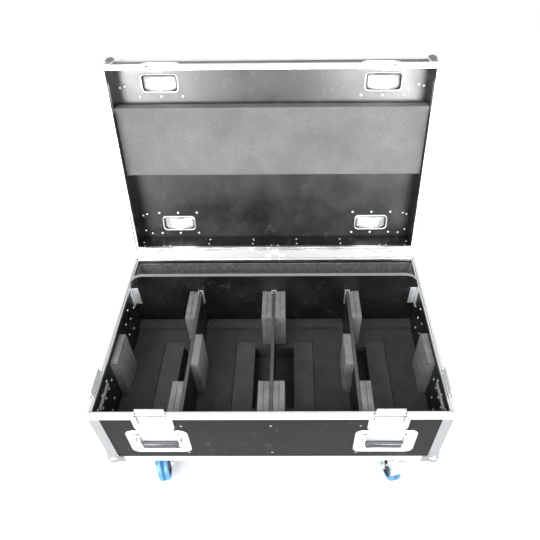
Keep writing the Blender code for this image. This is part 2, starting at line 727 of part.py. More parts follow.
def build_dividers(materials, root):
    """Three loose boards that drop into the channels, each with its foam blocks."""
    front = PANEL_BACK + CHANNEL_WALL + DIVIDER_PLAY
    back = PARTITION_FROM_FRONT - CHANNEL_WALL - DIVIDER_PLAY
    block_front = PANEL_BACK + FOAM_GAP + SEAT_GAP + EDGE_WALL
    block_back = PARTITION_FROM_FRONT - FOAM_GAP
    half = DIVIDER_THICKNESS / 2
    top = RIM_Z - DIVIDER_TOP_DROP
    foot = RIM_Z - FLOOR_FOAM_DROP - DIVIDER_FOAM_DEPTH + FOAM_GAP
    block_foot = RIM_Z - FLOOR_FOAM_DROP + FOAM_GAP
    ledge_foot = RIM_Z - FLOOR_LEDGE_DROP + FOAM_GAP
    # Which faces carry the pair of end blocks; the other faces of the outer two carry a middle block
    ends = {0: (-1,), 1: (-1, 1), 2: (1,)}
    for index, centre in enumerate(divider_places()):
        body = box((centre - half, front, foot), (centre + half, back, top))
        for sign in (-1, 1):
            face = centre + sign * (half - WELD)
            if sign in ends[index]:
                thick = sign * (END_BLOCK_THICKNESS + WELD)
                fore = foam_block(face, thick, block_front, PANEL_BACK + END_BLOCK_LENGTH, "front")
                rear = foam_block(face, thick, block_back - END_BLOCK_LENGTH, block_back, "back")
                body = join(body, prism(fore, block_foot, top, "z"), prism(rear, ledge_foot, top, "z"))
            else:
                thick = sign * (MIDDLE_BLOCK_THICKNESS + WELD)
                start = MIDDLE_BLOCK_FROM_FRONT
                block = foam_block(face, thick, start, start + MIDDLE_BLOCK_LENGTH, "none")
                body = join(body, prism(block, block_foot, top, "z"))
        name = "divider_" + ("left", "middle", "right")[index]
        finish(name, body, materials["laminate"], root)


def build_foam(materials, root):
    """The fitted floor foam with its slots and pockets, the rear pocket's lining and the wall pads."""
    foam = materials["foam"]
    half = INNER_HALF_WIDTH - FOAM_GAP
    front = PANEL_BACK + FOAM_GAP
    back = INNER_BACK - FOAM_GAP
    floor = FLOOR_TOP + FOAM_GAP
    top = RIM_Z - FLOOR_FOAM_DROP
    ledge = RIM_Z - FLOOR_LEDGE_DROP
    slot_floor = RIM_Z - FLOOR_FOAM_DROP - DIVIDER_FOAM_DEPTH
    partition_floor = RIM_Z - FLOOR_LEDGE_DROP - DIVIDER_FOAM_DEPTH
    lining_top = RIM_Z - RIM_INNER_LEG - LINING_TOP_DROP
    partition_back = PARTITION_FROM_FRONT + PARTITION_THICKNESS + FOAM_GAP
    lining = LINING_THICKNESS
    profile = [(front, floor), (back, floor), (back, lining_top), (back - lining, lining_top),
               (back - lining, floor + lining), (partition_back, floor + lining),
               (partition_back, partition_floor), (PARTITION_FROM_FRONT - FOAM_GAP, partition_floor),
               (PARTITION_FROM_FRONT - FOAM_GAP, ledge), (FLOOR_LEDGE_FROM_FRONT, ledge),
               (FLOOR_LEDGE_FROM_FRONT, top), (front, top)]
    body = prism(profile, -half, half, "x")
    slot_half = DIVIDER_THICKNESS / 2 + FOAM_GAP
    slot_back = PARTITION_FROM_FRONT + OVERRUN
    for centre in divider_places():
        slot = box((centre - slot_half, front - OVERRUN, slot_floor),
                   (centre + slot_half, slot_back, ledge + OVERRUN))
        relief = slot_half + CHANNEL_WALL + FOAM_GAP
        reach = CHANNEL_LEG + WELD + FOAM_GAP
        fore = box((centre - relief, front - OVERRUN, slot_floor),
                   (centre + relief, PANEL_BACK + reach, ledge + OVERRUN))
        rear = box((centre - relief, PARTITION_FROM_FRONT - reach, slot_floor),
                   (centre + relief, slot_back, ledge + OVERRUN))
        body = cut(body, slot, fore, rear)
    # A deep pocket beside each face that carries end blocks
    for centre, sign in ((-DIVIDER_SPREAD, -1), (0.0, -1), (0.0, 1), (DIVIDER_SPREAD, 1)):
        near = centre + sign * (slot_half - OVERRUN / 2)
        far = centre + sign * (slot_half + FLOOR_POCKET_WIDTH)
        edges = sorted((near, far))
        pocket = box((edges[0], FLOOR_POCKET_FRONT, RIM_Z - FLOOR_POCKET_DROP),
                     (edges[1], FLOOR_POCKET_BACK, top + OVERRUN))
        body = cut(body, pocket)
    for sign in (-1, 1):
        edges = sorted((sign * half, sign * (half - lining)))
        cheek = box((edges[0], partition_back, floor + WELD), (edges[1], back - WELD, lining_top))
        body = join(body, cheek)
    # The pads on the side walls stand on the floor foam and are glued to it
    pad_top = RIM_Z - DIVIDER_TOP_DROP
    start = MIDDLE_BLOCK_FROM_FRONT
    for sign in (-1, 1):
        edges = sorted((sign * half, sign * (half - MIDDLE_BLOCK_THICKNESS)))
        pad = box((edges[0], start, top - WELD), (edges[1], start + MIDDLE_BLOCK_LENGTH, pad_top))
        body = join(body, pad)
    finish("fitted_base_foam", body, foam, root)


def build_latches(materials, root):
    """Each latch: a pressed dish, a hook plate that rides on a slant, and the key that drives it."""
    steel = materials["zinc"]
    half = LATCH_WIDTH / 2
    pan_half = LATCH_PAN_WIDTH / 2
    front = -SEAT_GAP - LATCH_PLATE
    for name, frame in LATCHES.items():
        latch = make_empty("latch_" + name, (0, 0, 0), root)
        latch.matrix_local = frame
        outline = arc((half - LATCH_CORNER_RADIUS, LATCH_CORNER_RADIUS - LATCH_HEIGHT),
                      LATCH_CORNER_RADIUS, -90, 0)
        outline += [(half, -SEAT_GAP), (-half, -SEAT_GAP)]
        outline += arc((LATCH_CORNER_RADIUS - half, LATCH_CORNER_RADIUS - LATCH_HEIGHT),
                       LATCH_CORNER_RADIUS, 180, 270)
        dish = prism(outline, front, -SEAT_GAP, "y")
        pan_low = -LATCH_PAN_HEIGHT
        shell = box((-pan_half - LATCH_PLATE, -SEAT_GAP - WELD, pan_low - LATCH_PLATE),
                    (pan_half + LATCH_PLATE, LATCH_PAN_DEPTH + LATCH_PLATE, -SEAT_GAP))
        dish = join(dish, shell)
        dish = cut(dish, box((-pan_half, front - OVERRUN, pan_low), (pan_half, LATCH_PAN_DEPTH, OVERRUN)))
        finish("latch_dish_" + name, dish, steel, latch)
        build_hook(name, latch, steel)
        build_key(name, latch, steel)


def build_hook(name, latch, steel):
    """The hook plate in its released place, out and up by its travel."""
    shut_back = LATCH_PAN_DEPTH - SEAT_GAP
    back = shut_back - HOOK_TRAVEL_IN
    front = back - HOOK_THICKNESS
    lip_bottom = RIM_CLOSING_GAP + KEEPER_RIDGE_LOW + KEEPER_RIDGE_HEIGHT + SEAT_GAP + HOOK_TRAVEL_DOWN
    top = lip_bottom + HOOK_LIP_HEIGHT
    bottom = HOOK_TRAVEL_DOWN + SEAT_GAP - LATCH_PAN_HEIGHT
    profile = [(front, bottom), (back, bottom), (back, lip_bottom), (back + HOOK_LIP, lip_bottom),
               (back + HOOK_LIP, top - HOOK_THICKNESS), (back, top), (front, top)]
    half = HOOK_WIDTH / 2
    body = prism(profile, -half, half, "x")
    slot_half = KEY_BOSS_RADIUS + SEAT_GAP + WELD / 2
    slot_top = -KEY_CENTRE_DROP + slot_half + HOOK_TRAVEL_DOWN
    slot_bottom = -KEY_CENTRE_DROP - slot_half
    outline = rounded_rectangle((-slot_half, slot_bottom), (slot_half, slot_top), slot_half - WELD / 2)
    body = cut(body, prism(outline, front - OVERRUN, back + OVERRUN, "y"))
    finish("latch_hook_" + name, body, steel, latch)


def build_key(name, latch, steel):
    """The cam disc with its bow-tie wing, on a boss that runs through the hook's slot."""
    hook_front = LATCH_PAN_DEPTH - SEAT_GAP - HOOK_TRAVEL_IN - HOOK_THICKNESS
    disc_back = hook_front - SEAT_GAP
    disc_front = disc_back - KEY_DISC_THICKNESS
    wing_front = disc_front - KEY_WING_THICKNESS
    body = cylinder(KEY_DISC_RADIUS, disc_front, disc_back, "y")
    body = join(body, cylinder(KEY_BOSS_RADIUS, disc_back - WELD, LATCH_PAN_DEPTH - SEAT_GAP, "y"))
    end = KEY_WING_LENGTH / 2
    wide = KEY_WING_END / 2
    waist = KEY_WING_WAIST / 2
    corner = waist * KEY_WING_CORNER_SHARE
    outline = arc((end - corner, corner - wide), corner, -90, 0)
    outline += arc((end - corner, wide - corner), corner, 0, 90)
    outline += [(waist, waist), (-waist, waist)]
    outline += arc((corner - end, wide - corner), corner, 90, 180)
    outline += arc((corner - end, corner - wide), corner, 180, 270)
    outline += [(-waist, -waist), (waist, -waist)]
    body = join(body, prism(outline, wing_front, disc_front + WELD, "y"))
    body = join(body, cylinder(KEY_BOSS_RADIUS, wing_front - KEY_DISC_THICKNESS / 2, wing_front + WELD, "y"))
    finish("latch_key_" + name, body, steel, latch, location=(0, 0, -KEY_CENTRE_DROP))


def handle_bail_path():
    """Half-outline of the bail's wire below its pivot, mirrored to give the whole bail."""
    half = BAIL_WIDTH / 2
    bend = BAIL_BEND_RADIUS
    right = [(half, 0.0)]
    right += arc((half - bend, bend - BAIL_DROP), bend, 0, -90)
    return right + [(-x, z) for x, z in reversed(right)]


def build_handles(materials, root):
    """Each handle: a pressed dish with pivot ears and a sprung bail with a ribbed grip."""
    face = PANEL_INSET - SEAT_GAP
    front = face - HANDLE_PLATE
    middle = -HANDLE_HEIGHT / 2
    pan_half = HANDLE_PAN_WIDTH / 2
    pan_reach = HANDLE_PAN_HEIGHT / 2
    pan_back = PANEL_BACK - SEAT_GAP
    pivot_z = middle + pan_reach - HANDLE_PAN_RADIUS - BAIL_WIRE_RADIUS - BAIL_EAR_THICKNESS
    pivot_y = pan_back - HANDLE_PLATE - BAIL_GRIP_DEPTH / 2 - BAIL_GRIP_PLAY
    for name, frame in HANDLES.items():
        handle = make_empty("handle_" + name, (0, 0, 0), root)
        handle.matrix_local = frame
        flange = rounded_rectangle((-HANDLE_WIDTH / 2, -HANDLE_HEIGHT), (HANDLE_WIDTH / 2, 0),
                                   HANDLE_CORNER_RADIUS)
        dish = prism(flange, front, face, "y")
        shell = rounded_rectangle((-pan_half - HANDLE_PLATE, middle - pan_reach - HANDLE_PLATE),
                                  (pan_half + HANDLE_PLATE, middle + pan_reach + HANDLE_PLATE),
                                  HANDLE_PAN_RADIUS + HANDLE_PLATE)
        dish = join(dish, prism(shell, face - WELD, pan_back, "y"))
        pan = rounded_rectangle((-pan_half, middle - pan_reach), (pan_half, middle + pan_reach),
                                HANDLE_PAN_RADIUS)
        dish = cut(dish, prism(pan, front - OVERRUN, pan_back - HANDLE_PLATE, "y"))
        for sign in (-1, 1):
            inner = BAIL_WIDTH / 2 + BAIL_WIRE_RADIUS + SEAT_GAP
            edges = sorted((sign * inner, sign * (pan_half + WELD)))
            reach = BAIL_WIRE_RADIUS + BAIL_EAR_THICKNESS
            ear = box((edges[0], pan_back - HANDLE_PLATE - BAIL_EAR_REACH + OVERRUN, pivot_z - reach),
                      (edges[1], pan_back - HANDLE_PLATE + WELD, pivot_z + reach))
            # A blind hole for the bail's pin, open towards the middle of the handle
            hole = sorted((sign * (inner - OVERRUN), sign * (inner + BAIL_EAR_THICKNESS + SEAT_GAP)))
            bore = cylinder(BAIL_PIN_RADIUS + SEAT_GAP, hole[0], hole[1], "x", SMALL_ROUND_SEGMENTS,
                            (pivot_y, pivot_z))
            dish = join(dish, cut(ear, bore))
        finish("handle_dish_" + name, dish, materials["zinc"], handle)
        build_bail(name, handle, (0, pivot_y, pivot_z), materials)


def build_bail(name, handle, pivot, materials):
    path = [(x, 0.0, z) for x, z in handle_bail_path()]
    body = tube(path, [BAIL_WIRE_RADIUS] * len(path), BAIL_SIDES)
    half = BAIL_GRIP_LENGTH / 2
    deep = BAIL_GRIP_DEPTH / 2
    tall = BAIL_GRIP_HEIGHT / 2
    outline = rounded_rectangle((-deep, -tall - BAIL_DROP), (deep, tall - BAIL_DROP), BAIL_GRIP_CORNER)
    grip = prism(outline, -half, half, "x")
    # Shallow grooves along the front of the grip
    pitch = BAIL_GRIP_HEIGHT / (BAIL_GRIP_GROOVES + 1)
    for index in range(BAIL_GRIP_GROOVES):
        low = -tall - BAIL_DROP + pitch * (index + 1) - BAIL_GRIP_GROOVE_WIDTH / 2
        high = low + BAIL_GRIP_GROOVE_WIDTH
        floor = BAIL_GRIP_GROOVE_DEPTH - deep
        grip = cut(grip, box((-half - OVERRUN, -deep - OVERRUN, low), (half + OVERRUN, floor, high)))
    body = join(body, grip)
    pin_radius = BAIL_PIN_RADIUS
    pin_end = BAIL_WIDTH / 2 + BAIL_WIRE_RADIUS + BAIL_EAR_THICKNESS
    eye = BAIL_WIRE_RADIUS + WELD
    side = BAIL_WIDTH / 2
    for sign in (-1, 1):
        edges = sorted((sign * (side - BAIL_WIRE_RADIUS), sign * (side + BAIL_WIRE_RADIUS)))
        body = join(body, cylinder(eye, edges[0], edges[1], "x", SMALL_ROUND_SEGMENTS))
        ends = sorted((sign * BAIL_WIDTH / 2, sign * pin_end))
        body = join(body, cylinder(pin_radius, ends[0], ends[1], "x", SMALL_ROUND_SEGMENTS))
    finish("handle_bail_" + name, body, materials["rubber"], handle, location=pivot, smooth=True)


def hinge_leaf(low, high, arm_far, sweep):
    """Section of a leaf about its pin: a plate on the case's back face, an arm and its barrel."""
    face = SEAT_GAP - HINGE_PIN_OFFSET
    front = face + HINGE_LEAF_THICKNESS
    if low < high:
        barrel = arc((0, 0), HINGE_BARREL_RADIUS, -90, sweep, HINGE_BARREL_STEPS)
        return [(face, low), (front, low), (front, arm_far), *barrel, (front, high), (face, high)]
    mirrored = hinge_leaf(-low, -high, -arm_far, sweep)
    return [(y, -z) for y, z in mirrored]


def build_hinges(materials, root, lid):
    """Three hinges: a leaf with two knuckles on the base, one with the middle knuckle and pin on the lid."""
    steel = materials["zinc"]
    knuckle = HINGE_MIDDLE_KNUCKLE / 2
    half = HINGE_WIDTH / 2
    barrel = HINGE_BARREL_RADIUS
    front = SEAT_GAP - HINGE_PIN_OFFSET + HINGE_LEAF_THICKNESS - WELD / 2
    base_top = -HINGE_PIN_RISE - EDGE_WALL
    lid_bottom = RIM_CLOSING_GAP - HINGE_PIN_RISE + EDGE_WALL + HINGE_LEAF_THICKNESS
    reach = barrel + HINGE_LEAF_THICKNESS
    for name, centre in (("left", -HINGE_SPREAD), ("middle", 0.0), ("right", HINGE_SPREAD)):
        outline = hinge_leaf(base_top - HINGE_LEAF_HEIGHT, base_top, base_top - reach, HINGE_BARREL_SWEEP)
        leaf = prism(outline, -half, half, "x")
        free = knuckle + HINGE_KNUCKLE_GAP
        leaf = cut(leaf, box((-free, front, -HINGE_LEAF_HEIGHT - reach), (free, barrel + OVERRUN, reach)))
        bore = cylinder(HINGE_PIN_RADIUS + SEAT_GAP, -half - OVERRUN, half + OVERRUN, "x",
                        SMALL_ROUND_SEGMENTS)
        leaf = cut(leaf, bore)
        finish("hinge_base_leaf_" + name, leaf, steel, root, location=(centre, HINGE_Y, HINGE_Z))
        outline = hinge_leaf(lid_bottom + HINGE_LEAF_HEIGHT, lid_bottom, lid_bottom + reach, HINGE_BARREL_SWEEP)
        leaf = prism(outline, -half, half, "x")
        crest = lid_bottom + HINGE_LEAF_HEIGHT + reach
        for low, high in ((-half - OVERRUN, -knuckle), (knuckle, half + OVERRUN)):
            leaf = cut(leaf, box((low, front, -reach), (high, barrel + OVERRUN, crest)))
        leaf = join(leaf, cylinder(HINGE_PIN_RADIUS, -half, half, "x", SMALL_ROUND_SEGMENTS))
        finish("hinge_lid_leaf_" + name, leaf, steel, lid, location=(centre, 0, 0))


def lid_local(body):
    """Move a solid drawn in place on the closed lid to the lid's own frame, about the hinge pin."""
    return moved(body, Matrix.Translation((0, -HINGE_Y, -HINGE_Z)))


def build_lid(materials, lid):
    black = materials["laminate"]
    top_z = LID_BOTTOM + LID_HEIGHT
    panel_high = top_z - PANEL_INSET
    panel_low = panel_high - BOARD_THICKNESS
    outer = HALF_WIDTH - PANEL_INSET
    top = box((-outer, PANEL_INSET, panel_low), (outer, CASE_DEPTH - PANEL_INSET, panel_high))
    for place in cup_places():
        half = CUP_LENGTH / 2 + CUP_PLATE + SEAT_GAP
        reach = CUP_WIDTH / 2 + CUP_PLATE + SEAT_GAP
        hole = box((place[0] - half, place[1] - reach, panel_low - OVERRUN),
                   (place[0] + half, place[1] + reach, panel_high + OVERRUN))
        top = cut(top, hole)
    wall_low = LID_BOTTOM + RIM_TONGUE_HEIGHT + RIM_GROOVE_PLAY + EDGE_WALL + SEAT_GAP - RIM_Z
    wall_high = panel_low + WELD - RIM_Z
    profile = [(PANEL_INSET, wall_low), (PANEL_BACK, wall_low),
               (PANEL_BACK, wall_high), (PANEL_INSET, wall_high)]
    walls = mitred_ring(profile, RIM_Z)
    rim = mitred_ring(lid_rim_profile(), LID_BOTTOM)
    lift = Matrix.Translation((0, 0, RIM_CLOSING_GAP))
    for frame in LATCHES.values():
        walls = cut(walls, keeper_opening(lift @ frame, 2 * SEAT_GAP))
        rim = cut(rim, keeper_opening(lift @ frame, -WELD))
        rim = join(rim, keeper(lift @ frame))
    finish("lid_boards", lid_local(join(walls, top)), black, lid)
    for frame in corner_matrices():
        low = LID_BOTTOM + SEAT_GAP
        rim = join(rim, corner_brace(frame, low, LID_BOTTOM + CORNER_BRACE_HEIGHT))
    finish("lid_rim_extrusion", lid_local(rim), materials["aluminium"], lid)
    edges = outer_edges(top_z, False, LID_BOTTOM + RIM_OUTER_LEG + SEAT_GAP)
    for place in cup_places():
        half = CUP_FLANGE_LENGTH / 2 + SEAT_GAP
        reach = CUP_FLANGE_WIDTH / 2 + SEAT_GAP
        edges = cut(edges, box((place[0] - half, place[1] - reach, panel_high - OVERRUN),
                               (place[0] + half, place[1] + reach, top_z + OVERRUN)))
    finish("lid_edge_extrusions", lid_local(edges), materials["aluminium"], lid, smooth=True)
    half = INNER_HALF_WIDTH - FOAM_GAP
    pad = box((-half, LID_PAD_FROM_FRONT, panel_low - SEAT_GAP - LID_PAD_THICKNESS),
              (half, LID_PAD_FROM_FRONT + LID_PAD_LENGTH, panel_low - SEAT_GAP))
    finish("lid_foam_pad", lid_local(pad), materials["foam"], lid)
    for index, place in enumerate(cup_places()):
        name = "castor_cup_" + ("front_left", "front_right", "rear_left", "rear_right")[index]
        centre = (place[0], place[1] - HINGE_Y, panel_high - HINGE_Z)
        finish(name, castor_cup(), materials["zinc"], lid, location=centre, smooth=True)


def keeper(frame):
    """The pressed keeper of a latch, welded into the lid's rim, with the ridge that the hook takes."""
    half = LATCH_WIDTH / 2
    pan_half = LATCH_PAN_WIDTH / 2
    radius = LATCH_CORNER_RADIUS * KEEPER_CORNER_SHARE
    front = -SEAT_GAP - LATCH_PLATE
    outline = [(half, SEAT_GAP)]
    outline += arc((half - radius, KEEPER_HEIGHT - radius), radius, 0, 90)
    outline += arc((radius - half, KEEPER_HEIGHT - radius), radius, 90, 180)
    outline += [(-half, SEAT_GAP)]
    body = prism(outline, front, WELD, "y")
    shell = box((-pan_half - LATCH_PLATE, -WELD, SEAT_GAP),
                (pan_half + LATCH_PLATE, KEEPER_PAN_DEPTH + LATCH_PLATE, KEEPER_PAN_HEIGHT + LATCH_PLATE))
    body = join(body, shell)
    pan = box((-pan_half, front - OVERRUN, -OVERRUN), (pan_half, KEEPER_PAN_DEPTH, KEEPER_PAN_HEIGHT))
    body = cut(body, pan)
    ridge = box((-HOOK_WIDTH / 2, KEEPER_PAN_DEPTH - KEEPER_RIDGE_DEPTH, KEEPER_RIDGE_LOW),
                (HOOK_WIDTH / 2, KEEPER_PAN_DEPTH + WELD, KEEPER_RIDGE_LOW + KEEPER_RIDGE_HEIGHT))
    return moved(join(body, ridge), frame)


def cup_places():
    front = CUP_FROM_EDGE
    back = CASE_DEPTH - CUP_FROM_EDGE
    return [(-CUP_SPREAD, front), (CUP_SPREAD, front), (-CUP_SPREAD, back), (CUP_SPREAD, back)]


def trough(half_length, half_width, depth, top):
    """A round-bottomed trough, its bottom an arc through both ends."""
    radius = (half_length ** 2 + depth ** 2) / (2 * depth)
    sweep = math.degrees(math.asin(half_length / radius))
    outline = arc((0.0, radius - depth), radius, 270 - sweep, 270 + sweep, CUP_ARC_STEPS)
    outline += [(half_length, top), (-half_length, top)]
    return prism(outline, -half_width, half_width, "y")


def castor_cup():
    """The pressed cup that takes a castor of the case stacked above, drawn about its flange's underside."""
    flange = rounded_rectangle((-CUP_FLANGE_LENGTH / 2, -CUP_FLANGE_WIDTH / 2),
                               (CUP_FLANGE_LENGTH / 2, CUP_FLANGE_WIDTH / 2), CUP_FLANGE_RADIUS)
    body = prism(flange, SEAT_GAP, SEAT_GAP + CUP_PLATE, "z")
    half = CUP_LENGTH / 2
    reach = CUP_WIDTH / 2
    body = join(body, trough(half + CUP_PLATE, reach + CUP_PLATE, CUP_DEPTH, SEAT_GAP + WELD))
    inner = trough(half, reach, CUP_DEPTH - CUP_PLATE, SEAT_GAP + CUP_PLATE + OVERRUN)
    return cut(body, inner)


def castor_list():
    """Each castor: name, place of its swivel, the way its wheel trails in degrees, and whether it brakes."""
    front = CASTOR_INSET
    back = CASE_DEPTH - CASTOR_INSET
    return [
        ("front_left", (-CASTOR_SPREAD, front), -90 + FRONT_SWIVEL_DEGREES, False),
        ("front_right", (CASTOR_SPREAD, front), -90 + FRONT_SWIVEL_DEGREES, True),
        ("rear_left", (-CASTOR_SPREAD, back), -90 - REAR_SWIVEL_DEGREES, False),
        ("rear_right", (CASTOR_SPREAD, back), -90 + REAR_SWIVEL_DEGREES, True),
    ]


def castor_plate():
    length = CASTOR_PLATE_LENGTH / 2
    width = CASTOR_PLATE_WIDTH / 2
    outline = rounded_rectangle((-length, -width), (length, width), CASTOR_PLATE_RADIUS)
    top = CASTOR_HEIGHT - SEAT_GAP
    bottom = top - CASTOR_PLATE_THICKNESS
    body = prism(outline, bottom, top, "z")
    for x in (-1, 1):
        for y in (-1, 1):
            place = (x * CASTOR_BOLT_LENGTH_SPREAD / 2, y * CASTOR_BOLT_WIDTH_SPREAD / 2)
            hole = cylinder(CASTOR_BOLT_RADIUS, bottom - OVERRUN, top + OVERRUN, "z",
                            SMALL_ROUND_SEGMENTS, place)
            body = cut(body, hole)
    race = CASTOR_RACE_RADIUS
    foot = bottom - CASTOR_RACE_HEIGHT
    profile = [(0.0, bottom + WELD), (race * CASTOR_RACE_TOP_SHARE, bottom + WELD), (race, (bottom + foot) / 2),
               (race * CASTOR_RACE_FOOT_SHARE, foot), (0.0, foot)]
    return join(body, turned(profile, "z"))


def castor_fork():
    """The swivel head with its two cheeks and the axle, drawn about the swivel; the wheel trails at +x."""
    top = HEAD_TOP
    head = CASTOR_HEAD_RADIUS
    low = top - CASTOR_HEAD_HEIGHT
    profile = [(0.0, top), (head * CASTOR_HEAD_TOP_SHARE, top),
               (head, top - CASTOR_HEAD_HEIGHT * CASTOR_HEAD_RIM_SHARE),
               (head * CASTOR_HEAD_FOOT_SHARE, low), (0.0, low)]
    body = turned(profile, "z")
    inner = WHEEL_HUB_WIDTH / 2 + WHEEL_SIDE_PLAY
    outer = inner + FORK_PLATE
    tail = FORK_TAIL_WIDTH / 2
    axle_z = WHEEL_RADIUS
    cheek = [(-FORK_CREST, low + WELD), (-FORK_THROAT, low - CASTOR_HEAD_HEIGHT)]
    cheek += arc((CASTOR_TRAIL, axle_z), tail, FORK_TAIL_START_DEGREES, FORK_TAIL_END_DEGREES, FORK_TAIL_STEPS)
    cheek += [(FORK_HEAD_LENGTH, low - CASTOR_HEAD_HEIGHT), (FORK_HEAD_LENGTH, low + WELD)]
    for sign in (-1, 1):
        edges = sorted((sign * inner, sign * outer))
        body = join(body, prism(cheek, edges[0], edges[1], "y"))
    place = (CASTOR_TRAIL, axle_z)
    body = join(body, cylinder(AXLE_RADIUS, -outer - WELD, outer + WELD, "y", SMALL_ROUND_SEGMENTS, place))
    for sign in (-1, 1):
        edges = sorted((sign * (outer - WELD), sign * (outer + AXLE_NUT_LENGTH)))
        body = join(body, cylinder(AXLE_NUT_RADIUS, edges[0], edges[1], "y", NUT_SIDES, place))
    return body


def castor_wheel():
    """A tread on a narrower core with a proud hub, drawn about its axle."""
    rim = WHEEL_RADIUS
    tread = WHEEL_TREAD_WIDTH / 2
    core = WHEEL_CORE_WIDTH / 2
    hub = WHEEL_HUB_WIDTH / 2
    inner = rim - WHEEL_TREAD_DEPTH
    bore = AXLE_RADIUS + AXLE_BORE_PLAY
    crown = WHEEL_TREAD_DEPTH * WHEEL_CROWN_SHARE
    half = [(rim, tread * WHEEL_FLAT_SHARE), (rim - crown, tread), (inner, tread),
            (inner - crown, core), (WHEEL_HUB_RADIUS + crown, core), (WHEEL_HUB_RADIUS, hub), (bore, hub)]
    profile = half + [(radius, -height) for radius, height in reversed(half)]
    return turned(profile, "y", WHEEL_SEGMENTS)


def brake_pedal():
    """A foot plate over the wheel with a lip turned down at its end, drawn about its own pin."""
    half = PEDAL_WIDTH / 2
    thick = PEDAL_THICKNESS
    pin = PEDAL_PIN_RADIUS
    inner = PEDAL_LENGTH - thick
    profile = [(-pin, pin), (pin, pin + thick), (inner, pin + thick), (PEDAL_LENGTH, pin),
               (PEDAL_LENGTH, -PEDAL_LIP), (inner, -PEDAL_LIP), (inner, pin - thick), (inner - thick, pin),
               (pin, pin), (pin, -pin), (-pin, -pin)]
    body = prism(profile, -half, half, "y")
    return join(body, cylinder(PEDAL_PIN_RADIUS, -half, half, "y", SMALL_ROUND_SEGMENTS))


def build_castors(materials, root):
    for name, place, heading, brakes in castor_list():
        plate = castor_plate()
        finish("castor_plate_" + name, plate, materials["zinc"], root, location=(*place, 0), smooth=True)
        swivel = make_empty("castor_swivel_" + name, (*place, 0), root)
        swivel.rotation_euler = (0, 0, math.radians(heading))
        finish("castor_fork_" + name, castor_fork(), materials["zinc"], swivel, smooth=True)
        axle = (CASTOR_TRAIL, 0, WHEEL_RADIUS)
        finish("castor_wheel_" + name, castor_wheel(), materials["tread"], swivel, location=axle, smooth=True)
        if brakes:
            reach = CASTOR_HEAD_RADIUS + PEDAL_PIN_RADIUS + CASTOR_RUNNING_GAP
            pin = (reach, 0, HEAD_TOP - CASTOR_HEAD_HEIGHT / 2)
            finish("brake_pedal_" + name, brake_pedal(), materials["zinc"], swivel, location=pin)


def footprint_centre():
    """Middle of the whole object's footprint and its lowest level, measured on the finished meshes."""
    bpy.context.view_layer.update()
    corners = []
    for item in bpy.context.scene.objects:
        if item.type == "MESH":
            corners += [item.matrix_world @ vertex.co for vertex in item.data.vertices]
    points = np.array(corners)
    low, high = points.min(axis=0), points.max(axis=0)
    return Vector(((low[0] + high[0]) / 2, (low[1] + high[1]) / 2, low[2]))


def main():
    clear_scene()
    materials = {
        "laminate": make_material("black_laminate", (0.012, 0.012, 0.013), 0.0, 0.32),
        "aluminium": make_material("satin_aluminium", (0.80, 0.81, 0.82), 1.0, 0.34),
        "zinc": make_material("zinc_plated_steel", (0.72, 0.73, 0.75), 1.0, 0.28),
        "foam": make_material("grey_foam", (0.085, 0.087, 0.090), 0.0, 0.95),
        "rubber": make_material("black_grip", (0.02, 0.02, 0.02), 0.0, 0.6),
        "tread": make_material("blue_tread", (0.03, 0.19, 0.55), 0.0, 0.45),
    }
    root = make_empty("case_frame", (0, 0, 0))
    lid = make_empty("lid_hinge_axis", (0, HINGE_Y, HINGE_Z), root)
    lid.rotation_euler = (-math.radians(LID_OPEN_DEGREES), 0, 0)
    build_base_boards(materials, root)
    build_base_edges(materials, root)
    build_partition(materials, root)
    build_dividers(materials, root)
    build_foam(materials, root)
    build_latches(materials, root)
    build_handles(materials, root)
    build_hinges(materials, root, lid)
    build_lid(materials, lid)
    build_castors(materials, root)
    root.location = -footprint_centre()
    bpy.context.view_layer.update()
    for item in bpy.context.scene.objects:
        print(item.name, [round(value, 5) for value in item.matrix_world.translation])


main()
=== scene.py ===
import math

import bmesh
import bpy
from mathutils import Matrix, Vector, noise


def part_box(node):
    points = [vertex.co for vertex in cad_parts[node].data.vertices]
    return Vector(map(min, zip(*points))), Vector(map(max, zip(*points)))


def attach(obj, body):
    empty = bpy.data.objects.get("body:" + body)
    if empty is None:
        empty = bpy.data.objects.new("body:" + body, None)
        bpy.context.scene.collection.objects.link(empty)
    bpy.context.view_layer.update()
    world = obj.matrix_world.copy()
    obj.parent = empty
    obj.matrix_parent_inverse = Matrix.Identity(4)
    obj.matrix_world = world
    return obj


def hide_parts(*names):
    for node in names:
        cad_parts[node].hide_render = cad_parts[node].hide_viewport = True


print("Case: loading the packed model")
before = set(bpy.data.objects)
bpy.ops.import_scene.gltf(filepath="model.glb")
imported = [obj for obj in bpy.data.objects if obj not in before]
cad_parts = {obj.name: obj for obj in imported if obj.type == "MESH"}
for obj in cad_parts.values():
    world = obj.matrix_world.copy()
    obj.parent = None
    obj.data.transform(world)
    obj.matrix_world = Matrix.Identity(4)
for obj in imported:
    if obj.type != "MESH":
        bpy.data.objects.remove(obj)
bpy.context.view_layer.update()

# Where the case stands: the middle of its width is x = 0, frontY is the outer face of its edges
caseSize = {"width": 0.960, "depth": 0.600, "baseHeight": 0.262, "lidHeight": 0.092, "wall": 0.0108,
            "edgeStep": 0.0018, "lidOpen": 101.6, "hingeBack": 0.015, "hingeRise": 0.004,
            "closingGap": 0.0005}
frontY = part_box("base_front_board")[0][1] - caseSize["edgeStep"]
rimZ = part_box("base_front_board")[1][2] + caseSize["edgeStep"]
halfWidth = caseSize["width"] / 2
bottomZ = rimZ - caseSize["baseHeight"]
lidTop = rimZ + caseSize["closingGap"] + caseSize["lidHeight"]
lidInner = lidTop - caseSize["wall"]
insideX = halfWidth - caseSize["wall"]
hingePlace = Vector((0, frontY + caseSize["depth"] + caseSize["hingeBack"], rimZ + caseSize["hingeRise"]))
